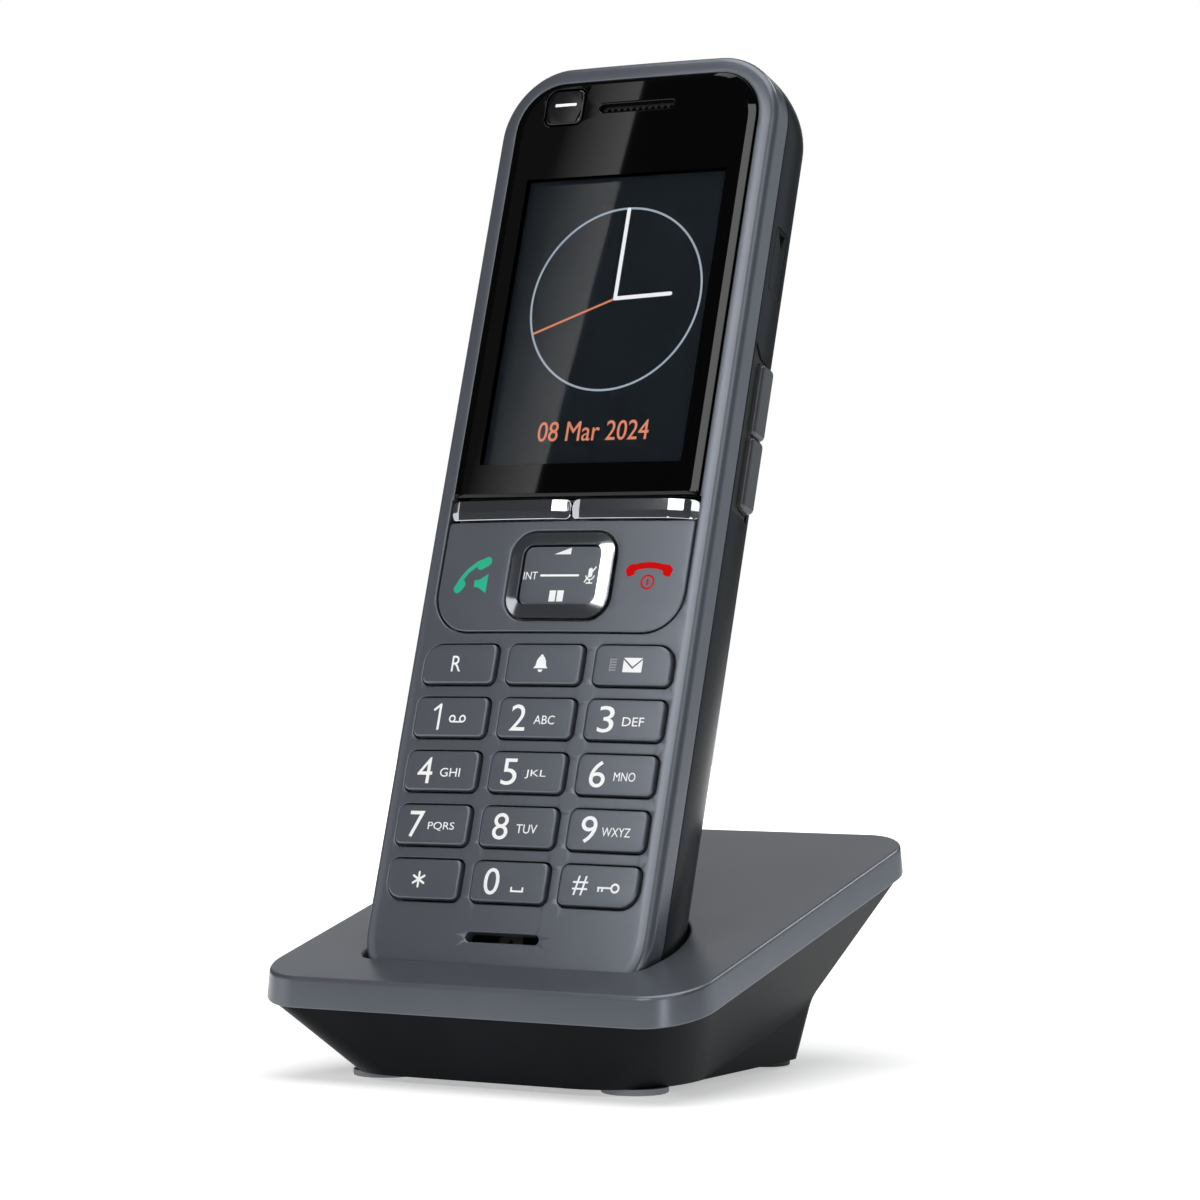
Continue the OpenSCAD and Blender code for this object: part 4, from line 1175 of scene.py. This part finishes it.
def cradle_body():
    shape = Shape()
    skin, floor, rim = body_skin(0, FOOT_H)
    inner, inner_floor, inner_rim = body_skin(BODY_WALL, FLOOR_TOP)
    shape.take(skin)
    shape.take(inner)
    shape.bridge(shape.ring(rim), shape.ring(inner_rim))
    hatch = rounded(34, 34, [1.2] * 4, (0, -8), steps=3, step=100)
    posts = [circle(2.6, (x, POST[1])) for x in (-POST[0], POST[0])]
    shape.sheet(floor, [hatch] + posts, FOOT_H, spacing=None)
    shape.sheet(inner_floor, [hatch] + posts, FLOOR_TOP, spacing=None)
    for hole in [hatch] + posts:
        shape.rings(hole, [(0, FOOT_H), (0, FLOOR_TOP)])
    skin.free()
    inner.free()
    way = Matrix.Translation(Vector((0, POWER_Y + 4, POWER_Z)) * MM) @ Matrix.Rotation(math.pi / 2, 4, "X")
    inlet = cutter(block(circle(POWER_R, n=40), 0, 10), way)
    piece("cradle_shell", shape, [black_satin], "cradle", CRADLE, ["cradle_body"],
          sharp=38, cuts=[inlet])
    drop_cutters([inlet])


def feet():
    sets = (("front_feet", FRONT_FOOT, grey_rubber, "foot_grey_rubber"),
            ("rear_feet", REAR_FOOT, black_rubber, "foot_black_rubber"))
    for name, (x, y, r), finish, slot in sets:
        shape = Shape()
        for sign in (-1, 1):
            outline = circle(r, (sign * x, y), 48)
            shape.rings(outline, [(-0.3, 0), (-0.09, 0.09), (0, 0.3), (0, FOOT_H - 0.02)])
            shape.sheet(grow(outline, -0.3), up=0, spacing=None)
            shape.sheet(outline, up=FOOT_H - 0.02, spacing=None)
        piece(f"{name}_pads", shape, [finish], "cradle", CRADLE, [name])


# ---------- camera, lights, floor ----------

CAMERA_AT = Vector((313.19, -530.37, 72.85)) * MM
CAMERA_WAY = Vector((-0.50641, 0.86229, 0.0010))


def add_camera():
    data = bpy.data.cameras.new("camera")
    data.lens = 117.36
    data.sensor_width = 36
    data.clip_start = 0.01
    camera = bpy.data.objects.new("camera", data)
    camera.location = CAMERA_AT
    camera.rotation_euler = CAMERA_WAY.to_track_quat("-Z", "Y").to_euler()
    bpy.context.scene.collection.objects.link(camera)
    bpy.context.scene.camera = camera


def softbox(name, centre, size, glow, aim=(0, 0, 0.08), colour=(1, 1, 1)):
    """A rectangular light that faces aim. glow is its radiance."""
    data = bpy.data.lights.new(name, "AREA")
    data.shape = "RECTANGLE"
    data.size, data.size_y = size
    data.energy = glow * math.pi * size[0] * size[1]
    data.color = colour
    light = bpy.data.objects.new(name, data)
    light.location = centre
    way = Vector(aim) - Vector(centre)
    light.rotation_euler = way.to_track_quat("-Z", "Y").to_euler()
    light.visible_camera = False
    bpy.context.scene.collection.objects.link(light)
    return light


# The edge of the strip light that the window mirrors, from its lower to its upper end, in metres
STRIP_LOW, STRIP_HIGH = Vector((-0.788, -1.031, 0.857)), Vector((-0.738, -0.929, 1.058))


def strip_light():
    """A narrow strip light, brightest at its right edge, that the window mirrors as a slanting band."""
    width, length, reach = 0.09, 0.42, 0.07
    up = (STRIP_HIGH - STRIP_LOW).normalized()
    facing = (Vector((0, 0, 0.12)) - (STRIP_LOW + STRIP_HIGH) / 2)
    facing = (facing - up * facing.dot(up)).normalized()
    across = up.cross(facing)
    middle = STRIP_LOW + up * (length / 2 - reach) + across * width / 2
    light = softbox("strip_light", middle, (width, length), 2.2)
    light.rotation_euler = Matrix((-across, up, -facing)).transposed().to_euler()
    light.data.use_nodes = True
    nodes, links = light.data.node_tree.nodes, light.data.node_tree.links
    shape, split = add_node(nodes, "NewGeometry"), add_node(nodes, "SeparateXYZ")
    fade = add_node(nodes, "MapRange", {"From Min": 0.6, "To Min": 0.05})
    links.new(shape.outputs["Parametric"], split.inputs["Vector"])
    links.new(split.outputs["X"], fade.inputs["Value"])
    links.new(fade.outputs["Result"], nodes["Emission"].inputs["Strength"])
    return light


def add_lights():
    strip_light()
    softbox("left_box", (-1.6, -0.85, 0.35), (0.9, 0.8), 0.8)
    softbox("front_box", (-0.34, -1.26, 0.92), (0.5, 0.7), 4.2)
    softbox("near_box", (0.9, -1.5, 0.12), (0.3, 0.5), 5.0)
    softbox("side_box", (0.75, -1.07, 0.93), (0.9, 0.5), 1.5)
    softbox("right_box", (1.14, 1.36, 0.5), (1.8, 1.0), 0.58, colour=(0.88, 0.96, 1.0))
    softbox("top_box", (0, 0, 1.9), (1.8, 1.8), 2.6)
    softbox("back_box", (-1.0, 1.45, 0.75), (1.6, 0.9), 0.47)
    softbox("back_top_box", (0.35, 1.2, 1.2), (0.6, 0.4), 4.5)


def add_world():
    world = bpy.data.worlds.new("studio")
    bpy.context.scene.world = world
    world.use_nodes = True
    nodes, links = world.node_tree.nodes, world.node_tree.links
    dim = set_inputs(nodes["Background"], {"Color": (0.9, 0.95, 1.0, 1), "Strength": 0.05})
    bright = add_node(nodes, "Background", {"Color": (1, 1, 1, 1), "Strength": 1.0})
    sight, mix = add_node(nodes, "LightPath"), add_node(nodes, "MixShader")
    links.new(sight.outputs["Is Camera Ray"], mix.inputs["Fac"])
    links.new(dim.outputs["Background"], mix.inputs[1])
    links.new(bright.outputs["Background"], mix.inputs[2])
    links.new(mix.outputs["Shader"], nodes["World Output"].inputs["Surface"])


# How brightly the floor glows under the object; it rises to 1 far away
FLOOR_GLOW = 0.45


def floor_material():
    """Pale paper that glows softly, and more with the distance, as a lit sweep does."""
    mat = material("studio_floor", (0.9, 0.9, 0.9), 0.7, other=(0.89, 0.89, 0.89), mottle=2, specular=0.1,
                   emission=(1, 1, 1))
    nodes, links = mat.node_tree.nodes, mat.node_tree.links
    place = next(n for n in nodes if n.type == "TEX_COORD")
    far = add_node(nodes, "VectorMath")
    far.operation = "LENGTH"
    near, away = 0.06, 0.75
    glow = add_node(nodes, "MapRange", {"From Min": near, "From Max": away,
                                        "To Min": FLOOR_GLOW, "To Max": 1.0})
    glow.interpolation_type = "SMOOTHSTEP"
    links.new(place.outputs["Object"], far.inputs[0])
    links.new(far.outputs["Value"], glow.inputs["Value"])
    links.new(glow.outputs["Result"], nodes["Principled BSDF"].inputs["Emission Strength"])
    return mat


def add_floor():
    shape = Shape()
    shape.sheet(circle(3350, (-1316, -2241), 120), up=-0.05, spacing=None)
    floor = mesh_object("floor", shape.bmesh(MM))
    floor.data.materials.append(floor_material())


# ---------- the scene ----------

add_camera()
add_world()
add_lights()
add_floor()
bpy.context.scene.view_settings.view_transform = "Standard"

front_housing()
rear_housing()
battery_cover()
headset_flap()
volume_bezel()
volume_key()
window()
display_picture()
message_key()
soft_keys()
call_key_plate()
navigation_key()
keypad()
cradle_top()
cradle_body()
feet()
